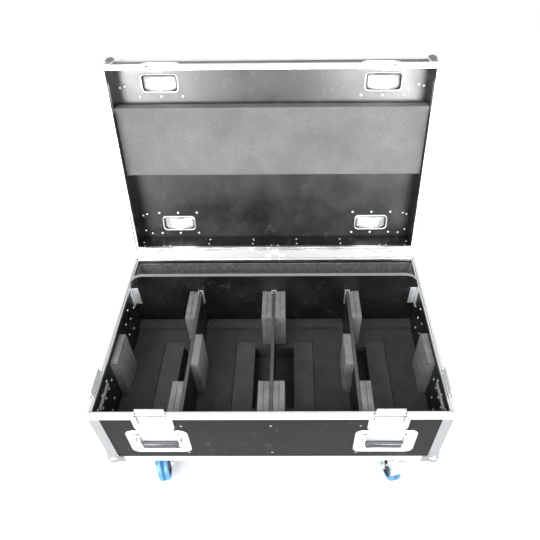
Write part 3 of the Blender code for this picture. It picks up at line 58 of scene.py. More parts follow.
# Takes a place on the closed lid to where it is with the lid open
lidSwing = (Matrix.Translation(hingePlace) @ Matrix.Rotation(-math.radians(caseSize["lidOpen"]), 4, "X")
            @ Matrix.Translation(-hingePlace))
lidTurn = lidSwing.to_3x3()
toFront, toBack, toFloor, toSky = (Vector(way) for way in ((0, -1, 0), (0, 1, 0), (0, 0, -1), (0, 0, 1)))
interior = Matrix.Translation((0, frontY, rimZ))
axisOrder = {"x": (1, 2, 0), "y": (0, 2, 1), "z": (0, 1, 2)}
mergeDistance = 0.000005


def linear(hexColour):
    channels = [int(hexColour[i:i + 2], 16) / 255 for i in (1, 3, 5)]
    return tuple(c / 12.92 if c <= 0.04045 else ((c + 0.055) / 1.055) ** 2.4 for c in channels) + (1.0,)


def meshPiece(name, bm, finish, body, smoothBelow=38, place=None, nodes=()):
    if place is not None:
        bmesh.ops.transform(bm, matrix=place, verts=bm.verts)
    mesh = bpy.data.meshes.new(name)
    bm.to_mesh(mesh)
    bm.free()
    for layer in (finish if isinstance(finish, list) else [finish]):
        mesh.materials.append(layer)
    mesh.shade_smooth()
    mesh.set_sharp_from_angle(angle=math.radians(smoothBelow))
    piece = bpy.data.objects.new(name, mesh)
    bpy.context.scene.collection.objects.link(piece)
    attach(piece, body)
    if nodes:
        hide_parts(*nodes)
    return piece


def addBm(target, extra, place=None):
    # joins one bmesh into another and frees it
    if place is not None:
        bmesh.ops.transform(extra, matrix=place, verts=extra.verts)
    mesh = bpy.data.meshes.new("joining")
    extra.to_mesh(mesh)
    extra.free()
    target.from_mesh(mesh)
    bpy.data.meshes.remove(mesh)


def softBox(low, high, edge=0.001, segments=2):
    bm = bmesh.new()
    bmesh.ops.create_cube(bm, size=1.0)
    low, high = Vector(low), Vector(high)
    size = high - low
    bmesh.ops.scale(bm, vec=size, verts=bm.verts)
    bmesh.ops.translate(bm, vec=(low + high) / 2, verts=bm.verts)
    edge = min(edge, min(size) * 0.45)
    bmesh.ops.bevel(bm, geom=bm.edges[:], offset=edge, segments=segments, profile=0.5, affect="EDGES")
    return bm


def addBox(target, xs, ys, zs, edge, segments=2):
    # xs, ys and zs are the box's two ends, in either order
    low, high = zip(*(sorted(ends) for ends in (xs, ys, zs)))
    addBm(target, softBox(low, high, edge, segments))


def arcPoints(cx, cy, radius, start, end, steps):
    angles = [math.radians(start + (end - start) * i / steps) for i in range(steps + 1)]
    return [(cx + radius * math.cos(angle), cy + radius * math.sin(angle)) for angle in angles]


def roundedLoop(width, height, radius, steps=6, centre=(0, 0)):
    # corner by corner, so that loops with the same steps can be lofted to each other
    w, h = width / 2 - radius, height / 2 - radius
    points = []
    for sx, sy, start in ((1, -1, -90), (1, 1, 0), (-1, 1, 90), (-1, -1, 180)):
        points += arcPoints(centre[0] + sx * w, centre[1] + sy * h, radius, start, start + 90, steps)
    return points


def loft(rings, capFirst=False, capLast=False, closed=True):
    bm = bmesh.new()
    made = [[bm.verts.new(p) for p in ring] for ring in rings]
    count = len(made[0])
    for ring, after in zip(made, made[1:]):
        for i in range(count if closed else count - 1):
            j = (i + 1) % count
            bm.faces.new((ring[i], ring[j], after[j], after[i]))
    if capFirst:
        bm.faces.new(list(reversed(made[0])))
    if capLast:
        bm.faces.new(made[-1])
    bmesh.ops.recalc_face_normals(bm, faces=bm.faces)
    return bm


def faceAlong(along, *values):
    # a place from its values across, up and along one direction
    return [values[axisOrder[along].index(axis)] for axis in range(3)]


def pullOutline(points, low, high, along="y", edge=0.0):
    # an outline pulled along one direction, its rims eased by a small chamfer
    bm = loft([[faceAlong(along, a, b, level) for a, b in points] for level in (low, high)], True, True)
    if edge:
        bm.faces.ensure_lookup_table()
        caps = bm.faces[-2:]
        rims = [e for e in bm.edges if sum(f in caps for f in e.link_faces) == 1]
        bmesh.ops.bevel(bm, geom=rims, offset=edge, segments=2, profile=0.5, affect="EDGES")
    return bm


def turned(profile, along="z", segments=32):
    rings = []
    for i in range(segments):
        angle = 2 * math.pi * i / segments
        rings.append([faceAlong(along, radius * math.cos(angle), radius * math.sin(angle), height)
                      for radius, height in profile])
    bm = loft(rings + rings[:1], closed=False)
    bmesh.ops.remove_doubles(bm, verts=bm.verts, dist=mergeDistance)
    bmesh.ops.recalc_face_normals(bm, faces=bm.faces)
    return bm


def wire(points, radius, sides=12):
    # a round bar along points, with its ends closed
    places = [Vector(p) for p in points]
    rings = []
    across = None
    for i, place in enumerate(places):
        direction = (places[min(i + 1, len(places) - 1)] - places[max(i - 1, 0)]).normalized()
        if across is None:
            across = direction.orthogonal().normalized()
        across = (across - direction * across.dot(direction)).normalized()
        other = direction.cross(across)
        rings.append([place + (across * math.cos(2 * math.pi * s / sides)
                               + other * math.sin(2 * math.pi * s / sides)) * radius for s in range(sides)])
    return loft(rings, capFirst=True, capLast=True)


rivet = {"sides": 14, "sunk": -0.0006,
         "profileShares": ((0.0, 1.0), (0.3, 0.97), (0.62, 0.78), (0.88, 0.42), (1.0, 0.12))}


def rivetHeads(name, places, body, finish, head, height):
    # places: (point on the surface, outward direction) for each pop rivet's domed head
    profile = [(head * out, height * up) for out, up in rivet["profileShares"]]
    profile += [(head, rivet["sunk"]), (0.0, rivet["sunk"])]
    bm = bmesh.new()
    for point, direction in places:
        turn = Vector(direction).to_track_quat("Z", "Y").to_matrix().to_4x4()
        addBm(bm, turned(profile, "z", rivet["sides"]), Matrix.Translation(point) @ turn)
    return meshPiece(name, bm, finish, body, smoothBelow=50)


def node(tree, kind, settings=None, **links):
    # adds one shader node: settings are its properties, and links its inputs, each a value, another node's
    # socket, or another node for that node's first output
    made = tree.nodes.new("ShaderNode" + kind)
    for key, value in (settings or {}).items():
        setattr(made, key, value)
    for key, value in links.items():
        place = int(key[1:]) if key[0] == "i" and key[1:].isdigit() else key.replace("_", " ")
        socket = made.inputs[place]
        if isinstance(value, bpy.types.Node):
            value = value.outputs[0]
        if isinstance(value, bpy.types.NodeSocket):
            tree.links.new(value, socket)
        else:
            socket.default_value = value
    return made


colourMix = {"data_type": "RGBA"}


def startFinish(name, look):
    # an object material with the constant values of its look set on the shader
    finish = bpy.data.materials.new(name)
    finish.use_nodes = True
    tree = finish.node_tree
    shader = tree.nodes["Principled BSDF"]
    shader.inputs["Base Color"].default_value = linear(look["base"])
    shader.inputs["Roughness"].default_value = look["roughness"]
    shader.inputs["Metallic"].default_value = look.get("metallic", 0.0)
    if "ior" in look:
        shader.inputs["IOR"].default_value = look["ior"]
    if "specular" in look:
        shader.inputs["Specular IOR Level"].default_value = look["specular"]
    finish.diffuse_color = linear(look["base"])
    return finish, tree, shader, node(tree, "TexCoord").outputs["Object"]


def clouded(tree, coords, look, tone, **more):
    # soft patches of a second tone over the base
    clouds = node(tree, "TexNoise", Vector=coords, Scale=1 / look["cloudSize"],
                  Detail=look.get("cloudDetail", 5.0), **more)
    share = node(tree, "MapRange", Value=clouds.outputs["Fac"], From_Min=look["cloudSpan"][0],
                 From_Max=look["cloudSpan"][1])
    colour = node(tree, "Mix", colourMix, i0=share, i6=linear(look["base"]), i7=linear(look[tone]))
    return {"noise": clouds.outputs["Fac"], "share": share.outputs[0], "colour": colour.outputs[2]}


def paintHollowShade(tree, look, colour):
    # painted shade: the metal's colour darkened in its hollows and crevices, where ambient occlusion finds
    # them
    hollow = node(tree, "AmbientOcclusion", {"samples": 6}, Distance=look["hollowShadeReach"])
    clear = node(tree, "MapRange", Value=hollow.outputs["AO"], From_Min=0.25, From_Max=0.72)
    shadedColour = node(tree, "Mix", colourMix, i0=clear, i6=linear(look["hollowShade"]), i7=colour)
    return shadedColour.outputs[2]


def dress(tree, shader, coords, colour, follow, rough, relief, span=(0.0, 1.0)):
    # puts on the shader a colour, a roughness that follows the patches, and a fine relief from noise
    tree.links.new(colour, shader.inputs["Base Color"])
    spread = node(tree, "MapRange", Value=follow, From_Min=span[0], From_Max=span[1], To_Min=rough[0],
                  To_Max=rough[1])
    tree.links.new(spread.outputs[0], shader.inputs["Roughness"])
    fine = node(tree, "TexNoise", Vector=coords, Scale=1 / relief["size"], Detail=relief.get("detail", 2.0))
    bump = node(tree, "Bump", Height=fine.outputs["Fac"], Distance=relief["height"],
                Strength=relief["strength"])
    tree.links.new(bump.outputs["Normal"], shader.inputs["Normal"])


laminateLook = {"base": "#111112", "haze": "#1e1e1f", "scuff": "#7c7c7e", "roughness": 0.27,
                "hazeRoughness": 0.40, "ior": 1.50, "cloudSize": 0.110, "cloudSpan": (0.36, 0.70),
                "roughSpan": (0.34, 0.72), "scuffSize": 0.030, "scuffSpan": (0.57, 0.66),
                "scuffShare": 0.24, "relief": {"size": 0.0016, "height": 0.00004, "strength": 0.5}}
# the outer faces have been rubbed dull by other cases
rubbedLook = dict(laminateLook, roughness=0.42, hazeRoughness=0.55, specular=0.15)


def phenolicLaminate(name, look):
    # phenolic film pressed on birch plywood: nearly black and satin, hazed where hands and cloths have
    # passed, with a few short pale scuffs and a faint orange peel about 1.6 mm across
    finish, tree, shader, coords = startFinish(name, look)
    haze = clouded(tree, coords, look, "haze", Roughness=0.6)
    slanted = node(tree, "Mapping", Vector=coords, Rotation=(0.4, 0.3, 0.8), Scale=(1.0, 0.22, 0.6))
    rubs = node(tree, "TexNoise", Vector=slanted.outputs["Vector"], Scale=1 / look["scuffSize"], Detail=8.0,
                Roughness=0.78)
    scuff = node(tree, "MapRange", Value=rubs.outputs["Fac"], From_Min=look["scuffSpan"][0],
                 From_Max=look["scuffSpan"][1], To_Max=look["scuffShare"])
    marked = node(tree, "Mix", colourMix, i0=scuff, i6=haze["colour"], i7=linear(look["scuff"]))
    dress(tree, shader, coords, marked.outputs[2], haze["noise"],
          (look["roughness"], look["hazeRoughness"]), look["relief"], look["roughSpan"])
    return finish


# natural anodised extrusion: satin, with die lines about 0.9 mm apart, patches dulled by hands and painted
# shade in its hollows
aluminiumLook = {"base": "#f3f4f5", "cloud": "#e2e4e6", "roughness": 0.30, "cloudRoughness": 0.46,
                 "metallic": 1.0, "cloudSize": 0.050, "cloudSpan": (0.38, 0.70), "hollowShade": "#77797b",
                 "hollowShadeReach": 0.007, "relief": {"size": 0.0009, "height": 0.00002, "strength": 0.35}}
# bright zinc plate on pressed steel, slightly uneven from the press, with painted shade in its hollows
zincLook = {"base": "#f1f3f4", "cloud": "#dfe2e4", "roughness": 0.20, "cloudRoughness": 0.38,
            "metallic": 1.0, "cloudSize": 0.016, "cloudSpan": (0.38, 0.68), "cloudDetail": 4.0,
            "hollowShade": "#6b6d6f", "hollowShadeReach": 0.004,
            "relief": {"size": 0.006, "detail": 3.0, "height": 0.00003, "strength": 0.35}}
satinZincLook = dict(zincLook, base="#e6e8ea", cloud="#d0d3d6", roughness=0.30, cloudRoughness=0.44)
rivetLook = dict(zincLook, base="#b4b6b8", cloud="#97999b", roughness=0.32, cloudRoughness=0.44)
# pressings that stand in the case: the passivated film scatters more light than it mirrors; the painted
# shade in their hollows is darker and reaches further
milkyZincLook = dict(zincLook, metallic=0.5, roughness=0.34, cloudRoughness=0.46, hollowShade="#505254",
                     hollowShadeReach=0.0065)


def wornMetalWithShade(name, look):
    # pale metal in soft duller clouds, with a fine relief and painted shade in its hollows
    finish, tree, shader, coords = startFinish(name, look)
    worn = clouded(tree, coords, look, "cloud")
    dress(tree, shader, coords, paintHollowShade(tree, look, worn["colour"]), worn["share"],
          (look["roughness"], look["cloudRoughness"]), look["relief"])
    return finish


foamLook = {"base": "#8c8c8d", "deep": "#707071", "pore": "#58585a", "roughness": 0.95, "ior": 1.45,
            "cloudSize": 0.045, "cloudSpan": (0.34, 0.68), "cellSize": 0.0018, "poreSpan": (0.05, 0.42),
            "poreShare": 0.45, "poreHeight": 0.0003, "streakSize": 0.0030, "streakShare": 0.0,
            "lumpSize": 0.010, "lumpHeight": 0.0009}
cutFoamLook = dict(foamLook, streakShare=0.55)
# painted shade and light: the floor foam and its strip are darker copies of the grey foam, shaded as if deep
# in the box, and the lid pad a paler copy, lit as it faces the light
shadedFloorFoamLook = dict(foamLook, base="#4a4a4b", deep="#3e3e3f", pore="#343435")
shadedStripFoamLook = dict(foamLook, base="#5b5b5c", deep="#4d4d4e", pore="#3d3d3e")
litLidFoamLook = dict(foamLook, base="#a4a4a5", deep="#88888a", pore="#5a5a5b", cloudSize=0.20,
                   cellSize=0.0042, poreShare=0.6)
liningLook = dict(foamLook, base="#8a8a8b", deep="#5f5f60", cloudSize=0.014, streakShare=0.25)


def cellFoam(name, look):
    # cross-linked polyethylene foam, knife-cut: matt grey in soft clouds, with open cells (really about
    # 0.5 mm, drawn 1.8 mm to show) and, on the cut sides, the blade's upright drag every 3 mm or so
    finish, tree, shader, coords = startFinish(name, look)
    tone = clouded(tree, coords, look, "deep", Roughness=0.6)["colour"]
    cells = node(tree, "TexVoronoi", {"feature": "F1"}, Vector=coords, Scale=1 / look["cellSize"])
    pores = node(tree, "MapRange", Value=cells.outputs["Distance"], From_Min=look["poreSpan"][0],
                 From_Max=look["poreSpan"][1], To_Min=look["poreShare"], To_Max=0.0)
    pitted = node(tree, "Mix", colourMix, i0=pores, i6=tone, i7=linear(look["pore"]))
    stretched = node(tree, "Mapping", Vector=coords, Scale=(1.0, 1.0, 0.06))
    drag = node(tree, "TexNoise", Vector=stretched.outputs["Vector"], Scale=1 / look["streakSize"],
                Detail=4.0)
    facing = node(tree, "NewGeometry")
    upright = node(tree, "SeparateXYZ", Vector=facing.outputs["True Normal"])
    level = node(tree, "Math", {"operation": "ABSOLUTE"}, i0=upright.outputs["Z"])
    onSides = node(tree, "MapRange", Value=level, From_Min=0.3, From_Max=0.7,
                   To_Min=look["streakShare"], To_Max=0.0)
    blade = node(tree, "MapRange", Value=drag.outputs["Fac"], From_Min=0.46, From_Max=0.62)
    dragged = node(tree, "Math", {"operation": "MULTIPLY"}, i0=blade, i1=onSides)
    streaked = node(tree, "Mix", colourMix, i0=dragged, i6=pitted.outputs[2], i7=linear(look["pore"]))
    tree.links.new(streaked.outputs[2], shader.inputs["Base Color"])
    pits = node(tree, "Bump", Height=cells.outputs["Distance"], Distance=look["poreHeight"], Strength=0.6)
    lumps = node(tree, "TexNoise", Vector=coords, Scale=1 / look["lumpSize"], Detail=2.0)
    uneven = node(tree, "Bump", Height=lumps.outputs["Fac"], Distance=look["lumpHeight"], Strength=0.4,
                  Normal=pits.outputs["Normal"])
    tree.links.new(uneven.outputs["Normal"], shader.inputs["Normal"])
    return finish


def grain(size):
    # spark-eroded grain drawn at about twice its real size so that it shows
    return {"size": size, "height": 0.00006, "strength": 0.5}


treadLook = {"base": "#66b9f2", "dusty": "#4b9de0", "roughness": 0.44, "ior": 1.50, "polished": 0.05,
             "dulled": 0.12, "cloudSize": 0.008, "cloudSpan": (0.42, 0.72), "relief": grain(0.0012)}
coreLook = dict(treadLook, base="#23272c", dusty="#2f353b", roughness=0.40, ior=1.53, cloudSize=0.010,
                relief=grain(0.0008))
gripLook = dict(treadLook, base="#4c4d50", dusty="#5c5d60", roughness=0.34, ior=1.52, cloudSize=0.012,
                relief=grain(0.0009))
# its pale base is a painted highlight on the partition's top
plyHighlightLook = dict(treadLook, base="#a3a3a1", dusty="#868684", roughness=0.55, ior=1.50, cloudSize=0.020,
               relief=grain(0.0015))
# the dividers' upward faces: a mid grey, lighter than their laminate
dividerTopGreyLook = dict(plyHighlightLook, base="#4e4e4e", dusty="#3c3c3c")


def mouldedPolymer(name, look):
    # moulded elastic rubber or nylon: an even colour under a little dust
    finish, tree, shader, coords = startFinish(name, look)
    dust = clouded(tree, coords, look, "dusty")
    dress(tree, shader, coords, dust["colour"], dust["share"],
          (look["roughness"] - look["polished"], look["roughness"] + look["dulled"]), look["relief"])
    return finish


print("Case: mixing the finishes")
laminate = phenolicLaminate("phenolicLaminate", laminateLook)
aluminium = wornMetalWithShade("anodisedAluminium", aluminiumLook)
zinc = wornMetalWithShade("brightZincPlate", zincLook)
satinZinc = wornMetalWithShade("satinZincPlate", satinZincLook)
milkyZinc = wornMetalWithShade("passivatedZincPlate", milkyZincLook)
rivetZinc = wornMetalWithShade("rivetZincPlate", rivetLook)
foam = cellFoam("closedCellFoam", foamLook)
foamCut = cellFoam("knifeCutFoam", cutFoamLook)
# lit and shaded copies of one foam: painted shade on the floor and strip, painted light on the lid pad
shadedFoamFloor = cellFoam("fittedFloorFoam", shadedFloorFoamLook)
shadedFoamStrip = cellFoam("shadedFloorFoamStrip", shadedStripFoamLook)
litFoamLid = cellFoam("litLidPadFoam", litLidFoamLook)
foamLining = cellFoam("compressedLiningFoam", liningLook)
tread = mouldedPolymer("blueElasticRubber", treadLook)
wheelCore = mouldedPolymer("wheelCoreNylon", coreLook)
gripRubber = mouldedPolymer("mouldedGripRubber", gripLook)
dividerEdge = mouldedPolymer("dividerTopGrey", dividerTopGreyLook)

print("Case: sprung handles")
faces = {"front": Matrix.Translation((0, frontY, rimZ)),
         "left": Matrix.Translation((-halfWidth, frontY, rimZ)) @ Matrix.Rotation(-math.pi / 2, 4, "Z"),
         "right": Matrix.Translation((halfWidth, frontY, rimZ)) @ Matrix.Rotation(math.pi / 2, 4, "Z")}


def fittingPlaces(frontX, sideX, frontDrop=0.0, sideDrop=0.0):
    # one fitting at each end of the front and one on each side wall, mirrored about the case's middle
    return {"front_left": faces["front"] @ Matrix.Translation((-frontX, 0, -frontDrop)),
            "front_right": faces["front"] @ Matrix.Translation((frontX, 0, -frontDrop)),
            "left_side": faces["left"] @ Matrix.Translation((-sideX, 0, -sideDrop)),
            "right_side": faces["right"] @ Matrix.Translation((sideX, 0, -sideDrop))}


def rivetsOn(places, across, drops, depth):
    # rivets in a column at each side of every fitting, heads outward
    return [(place @ Vector((side * across, depth, -drop)), place.to_3x3() @ toFront)
            for place in places.values() for side in (-1, 1) for drop in drops]


handle = {"width": 0.170, "height": 0.124, "corner": 0.020, "face": 0.0003, "plate": 0.0012,
          "panWidth": 0.130, "panHeight": 0.086, "panCorner": 0.010, "panFloor": 0.0093, "bead": 0.0038,
          "pivotDrop": 0.036, "pivotDepth": 0.0030, "armSpread": 0.056, "wire": 0.0038, "drop": 0.052,
          "bend": 0.012, "frontX": 0.314, "frontDrop": 0.080, "sideDrop": 0.036, "rivetX": 0.0755,
          "rivetZ": (0.017, 0.066, 0.110), "earLow": 0.0603, "earHigh": 0.0648, "earOut": 0.0018,
          "earHalf": 0.0068,
          "pinHead": ((0, 0.0012), (0.0018, 0.001), (0.0026, 0.0002), (0.0026, -0.003), (0, -0.003))}
grip = {"length": 0.100, "height": 0.0236, "depth": 0.0108, "corner": 0.0048, "grooves": 3,
        "grooveWidth": 0.0022, "grooveDepth": 0.0012, "grooveFloorShare": 0.6}
coil = {"start": 0.0515, "run": 0.0012, "radius": 0.0043, "wire": 0.0007, "steps": 60, "turnEach": 0.52}
shadeSheet = {"inset": 0.0006, "gap": 0.00004, "thickness": 0.00032, "edge": 0.0001}
handlePlaces = fittingPlaces(handle["frontX"], caseSize["depth"] / 2, handle["frontDrop"],
                             handle["sideDrop"])


def handleDishLoops():
    # loops of the pressed dish: the flange's edge and face, a rolled bead, the wall and the pan's floor
    front, floorDepth, bead = handle["face"], handle["panFloor"], handle["bead"]
    flange = ((0, front + handle["plate"]), (0, front + 0.0004), (-0.0008, front))
    pan = [(roll * bead, roll * bead / 2, front + sunk)
           for roll, sunk in ((3.2, 0), (2.4, -0.0005), (1.2, -0.0003), (0.3, 0.0008), (0, 0.0024))]
    pan += [(-0.001, 0, floorDepth - 0.0022), (-0.0022, 0, floorDepth - 0.0008),
            (-0.006, -0.002, floorDepth)]
    steps = [(handle["width"] + grow, handle["height"] + grow, handle["corner"], depth)
             for grow, depth in flange]
    steps += [(handle["panWidth"] + grow, handle["panHeight"] + grow, handle["panCorner"] + wider, depth)
              for grow, wider, depth in pan]
    return [[(x, depth, z) for x, z in roundedLoop(wide, tall, corner, 6, (0, -handle["height"] / 2))]
            for wide, tall, corner, depth in steps]


def gripOutline(centreZ):
    # section of the grip, across its length: an oval with grooves along its front
    half, deep, corner = grip["height"] / 2, grip["depth"] / 2, grip["corner"]
    points = arcPoints(deep - corner, half - corner, corner, 90, 0, 5)
    points += arcPoints(deep - corner, corner - half, corner, 0, -90, 5)
    points += arcPoints(corner - deep, corner - half, corner, -90, -180, 5)
    for i in range(grip["grooves"]):
        middle = -half + grip["height"] * (i + 1) / (grip["grooves"] + 1)
        wide, cut = grip["grooveWidth"] / 2, grip["grooveDepth"]
        flat = wide * grip["grooveFloorShare"]
        points += [(-deep, middle - wide), (-deep + cut, middle - flat), (-deep + cut, middle + flat),
                   (-deep, middle + wide)]
    points += arcPoints(corner - deep, half - corner, corner, 180, 90, 5)[:-1]
    return [(y + handle["pivotDepth"], z + centreZ) for y, z in points]


for name, place in handlePlaces.items():
    pivotDrop, pivotDepth = handle["pivotDrop"], handle["pivotDepth"]
    dish = loft(handleDishLoops(), capLast=True)
    for side in (-1, 1):
        addBox(dish, (side * handle["earLow"], side * handle["earHigh"]),
               (-handle["earOut"], handle["panFloor"]),
               (-pivotDrop - handle["earHalf"], -pivotDrop + handle["earHalf"]), 0.0012)
        pinPlace = Matrix.Translation((side * handle["earHigh"], pivotDepth, -pivotDrop))
        addBm(dish, turned(handle["pinHead"], "x", 14), pinPlace @ Matrix.Scale(side, 4, (1, 0, 0)))
    bmesh.ops.recalc_face_normals(dish, faces=dish.faces)
    meshPiece("pressedHandleDish_" + name, dish, milkyZinc, "case_base", place=place,
              nodes=("handle_dish_" + name,))
    if name.endswith("side"):
        # no bright pan shows inside the side walls: a black sheet of painted shade covers the back of each
        # side dish
        wide, inset, near = handle["width"] / 2, shadeSheet["inset"], caseSize["wall"] + shadeSheet["gap"]
        sheet = softBox((inset - wide, near, inset - handle["height"]),
                        (wide - inset, near + shadeSheet["thickness"], -inset), shadeSheet["edge"])
        meshPiece("handleShadeSheet_" + name, sheet, laminate, "case_base", place=place)
    spread, drop, bend = handle["armSpread"], pivotDrop + handle["drop"], handle["bend"]
    path = [(spread + 0.004, -pivotDrop), (spread + 0.0015, -pivotDrop - 0.0006),
            (spread, -pivotDrop - 0.003)]
    path += arcPoints(spread - bend, bend - drop, bend, 0, -90, 7)
    path += [(-x, z) for x, z in reversed(path)]
    bail = wire([(x, pivotDepth, z) for x, z in path], handle["wire"], 14)
    # the spring coiled round the pivot beside each arm
    for side in (-1, 1):
        turns = [(side * (coil["start"] - coil["run"] * i / coil["steps"]),
                  pivotDepth + coil["radius"] * math.cos(i * coil["turnEach"]),
                  -pivotDrop + coil["radius"] * math.sin(i * coil["turnEach"]))
                 for i in range(coil["steps"] + 1)]
        addBm(bail, wire(turns, coil["wire"], 6))
    meshPiece("bentHandleBail_" + name, bail, satinZinc, "handle_bail_" + name, place=place)
    sleeve = pullOutline(gripOutline(-drop), -grip["length"] / 2, grip["length"] / 2, "x", 0.0008)
    meshPiece("ribbedGrip_" + name, sleeve, gripRubber, "handle_bail_" + name, smoothBelow=28,
              place=place, nodes=("handle_bail_" + name,))
rivetHeads("handleRivets", rivetsOn(handlePlaces, handle["rivetX"], handle["rivetZ"], handle["face"]),
           "case_base", rivetZinc, head=0.0042, height=0.0016)

print("Case: butterfly latches")
latch = {"width": 0.108, "height": 0.078, "corner": 0.020, "face": -0.0015, "plate": 0.0012,
         "panWidth": 0.082, "panHeight": 0.064, "panFloor": 0.0078, "frontX": 0.3115,
         "sideFromFront": 0.095, "point": 0.0035, "rivetX": 0.0475, "rivetZ": (0.010, 0.034, 0.058)}
hook = {"width": 0.076, "thickness": 0.0015, "back": 0.0050, "foot": -0.0550, "top": 0.0238, "lip": 0.0018,
        "slot": 0.0052, "slotRoom": 0.0062, "overlap": 0.0004, "ridge": 0.0012, "sunk": 0.0006,
        "tongue": 0.013, "tongueFoot": -0.012, "ribX": 0.030, "ribHalf": 0.0025, "ribEnd": 0.010}
wing = {"drop": 0.040, "disc": 0.019, "length": 0.044, "end": 0.020, "waist": 0.009, "boss": 0.0045,
        "face": 0.0022, "thickness": 0.0015, "fold": 0.0011, "corner": 0.0031}
latchPlaces = fittingPlaces(latch["frontX"], latch["sideFromFront"])


def latchLoop(half, foot, radius, point, depth):
    # straight top, rounded lower corners and a small point under the middle, at one depth
    points = arcPoints(half - radius, foot + radius, radius, 0, -90, 7)
    points += [(0.009, foot), (0.002, foot - point), (-0.002, foot - point), (-0.009, foot)]
    points += arcPoints(radius - half, foot + radius, radius, -90, -180, 7)
    points += [(-half, -0.0003), (half, -0.0003)]
    return [(x, depth, z) for x, z in points]


def latchDishLoops():
    # the flange's edge and face, then a rolled bead, the wall and the pan's floor
    front, floorDepth = latch["face"], latch["panFloor"]
    half, foot = latch["width"] / 2, -latch["height"]
    panHalf, panFoot = latch["panWidth"] / 2, -latch["panHeight"]
    loops = [latchLoop(half + grow, foot - grow, latch["corner"], latch["point"], depth)
             for grow, depth in ((0, front + latch["plate"]), (0, front + 0.0004), (-0.0006, front))]
    pan = ((0.0045, 0.010, front), (0.0030, 0.009, front - 0.0007), (0.0012, 0.008, front - 0.0006),
           (0, 0.007, front + 0.0012), (-0.0006, 0.007, floorDepth - 0.0014), (-0.0022, 0.006, floorDepth))
    return loops + [latchLoop(panHalf + grow, panFoot - grow, radius, 0, depth)
                    for grow, radius, depth in pan]


def wingOutline(root, half, inset):
    # one wing of the key, from its root at one side round its two far corners to the other side
    reach, corner = wing["length"] / 2 - wing["corner"] - inset, wing["corner"]
    rise = wing["end"] / 2 - corner - inset
    return [(root, -half), *arcPoints(reach, -rise, corner, -90, 0, 5),
            *arcPoints(reach, rise, corner, 0, 90, 5), (root, half)]


for name, place in latchPlaces.items():
    dish = loft(latchDishLoops(), capLast=True)
    meshPiece("pressedLatchDish_" + name, dish, milkyZinc, "case_base", place=place,
              nodes=("latch_dish_" + name,))
    # hook plate: slotted for the key's boss, ribbed down both sides and bent over at the top
    back, top, slotHalf, wide = hook["back"], hook["top"], hook["slot"], hook["width"] / 2
    frontFace = back - hook["thickness"]
    low, high = -wing["drop"] - slotHalf, -wing["drop"] + slotHalf + hook["slotRoom"]
    beside = (low - hook["overlap"], high + hook["overlap"])
    plate = bmesh.new()
    for xs, zs in (((-wide, wide), (high, top)), ((-wide, wide), (hook["foot"], low)),
                   ((-wide, -slotHalf), beside), ((slotHalf, wide), beside)):
        addBox(plate, xs, (frontFace, back), zs, 0.0003, 1)
    addBox(plate, (-wide, wide), (frontFace, back + hook["lip"]), (top - 0.0014, top), 0.0005)
    addBox(plate, (-wide, wide), (frontFace, back + hook["lip"]), (top - 0.0030, top - 0.0012), 0.0004)
    # the pressed tongue that stands above the plate's middle, and a stiffening rib down each side
    addBox(plate, (-hook["tongue"], hook["tongue"]), (frontFace - hook["ridge"], frontFace + hook["sunk"]),
           (hook["tongueFoot"], top - hook["overlap"]), 0.0010)
    for side in (-1, 1):
        addBox(plate, (side * hook["ribX"] - hook["ribHalf"], side * hook["ribX"] + hook["ribHalf"]),
               (frontFace - hook["ridge"] * 0.6, frontFace + hook["sunk"]),
               (hook["foot"] + hook["ribEnd"], hook["ribEnd"]), 0.0008)
    meshPiece("slottedHookPlate_" + name, plate, milkyZinc, "latch_hook_" + name, place=place,
              nodes=("latch_hook_" + name,))
    # key: cam disc, bow-tie wings with folded rims, and the boss's domed head
    face, outer, boss = wing["face"], wing["disc"], wing["boss"]
    disc = turned([(0, face + 0.0002), (outer - 0.0012, face + 0.0002), (outer - 0.0003, face + 0.0005),
                   (outer, face + 0.0010), (0, face + 0.0010)], "y", 48)
    wingBack = face + 0.0004
    wingFront, waist = wingBack - wing["thickness"], wing["waist"] / 2
    for side in (-1, 1):
        blade = [(side * x, z) for x, z in wingOutline(waist * 0.6, waist, 0)]
        addBm(disc, pullOutline(blade, wingFront, wingBack, "y", 0.0004))
        rim = wingOutline(waist, waist * 1.02 - wing["fold"], wing["fold"])
        addBm(disc, wire([(side * x, wingFront, z) for x, z in rim], wing["fold"] * 0.6, 8))
    addBm(disc, turned([(0, wingFront - 0.0006), (boss * 0.5, wingFront - 0.0005),
                        (boss, wingFront + 0.0002), (boss, latch["panFloor"] - 0.0006),
                        (0, latch["panFloor"] - 0.0006)], "y", 24))
    meshPiece("butterflyKey_" + name, disc, satinZinc, "latch_key_" + name,
              place=place @ Matrix.Translation((0, 0, -wing["drop"])), nodes=("latch_key_" + name,))
rivetHeads("latchRivets", rivetsOn(latchPlaces, latch["rivetX"], latch["rivetZ"], latch["face"]),
           "case_base", rivetZinc, head=0.0036, height=0.0013)

print("Case: castor cups in the lid")
cup = {"x": 0.335, "fromEdge": 0.065, "flangeLength": 0.158, "flangeWidth": 0.090, "flangeCorner": 0.014,
       "length": 0.101, "width": 0.042, "depth": 0.021, "board": 0.009, "lip": 0.0042, "corner": 0.010,
       "rows": 0.0395, "columns": (-0.065, 0.0, 0.065), "draft": 0.007, "plate": 0.0015, "seat": 0.0018,
       "collarGap": 0.005, "collarRise": 0.0036}


def loopAt(level, width, height, radius):
    return [(x, y, level) for x, y in roundedLoop(width, height, radius, 5)]


def troughLoops(length, width, depth, level, corner, count=10):
    # loops from the mouth of a round-bottomed trough down to its floor, drawn at shares of its depth
    loops = []
    radius = (length * length / 4 + depth * depth) / (2 * depth)
    for i in range(count + 1):
        share = i / count
        sunk = depth * math.sin(share * math.pi / 2)
        reach = math.sqrt(max(radius * radius - (radius - (depth - sunk)) ** 2, 0.0))
        near = max(min(corner, reach, width / 2 * 0.98) * (1 - 0.25 * share), 0.0006)
        narrow = width - cup["draft"] * share ** 2
        loops.append(loopAt(level - sunk, max(2 * reach, 2.2 * near), narrow, near))
    return loops


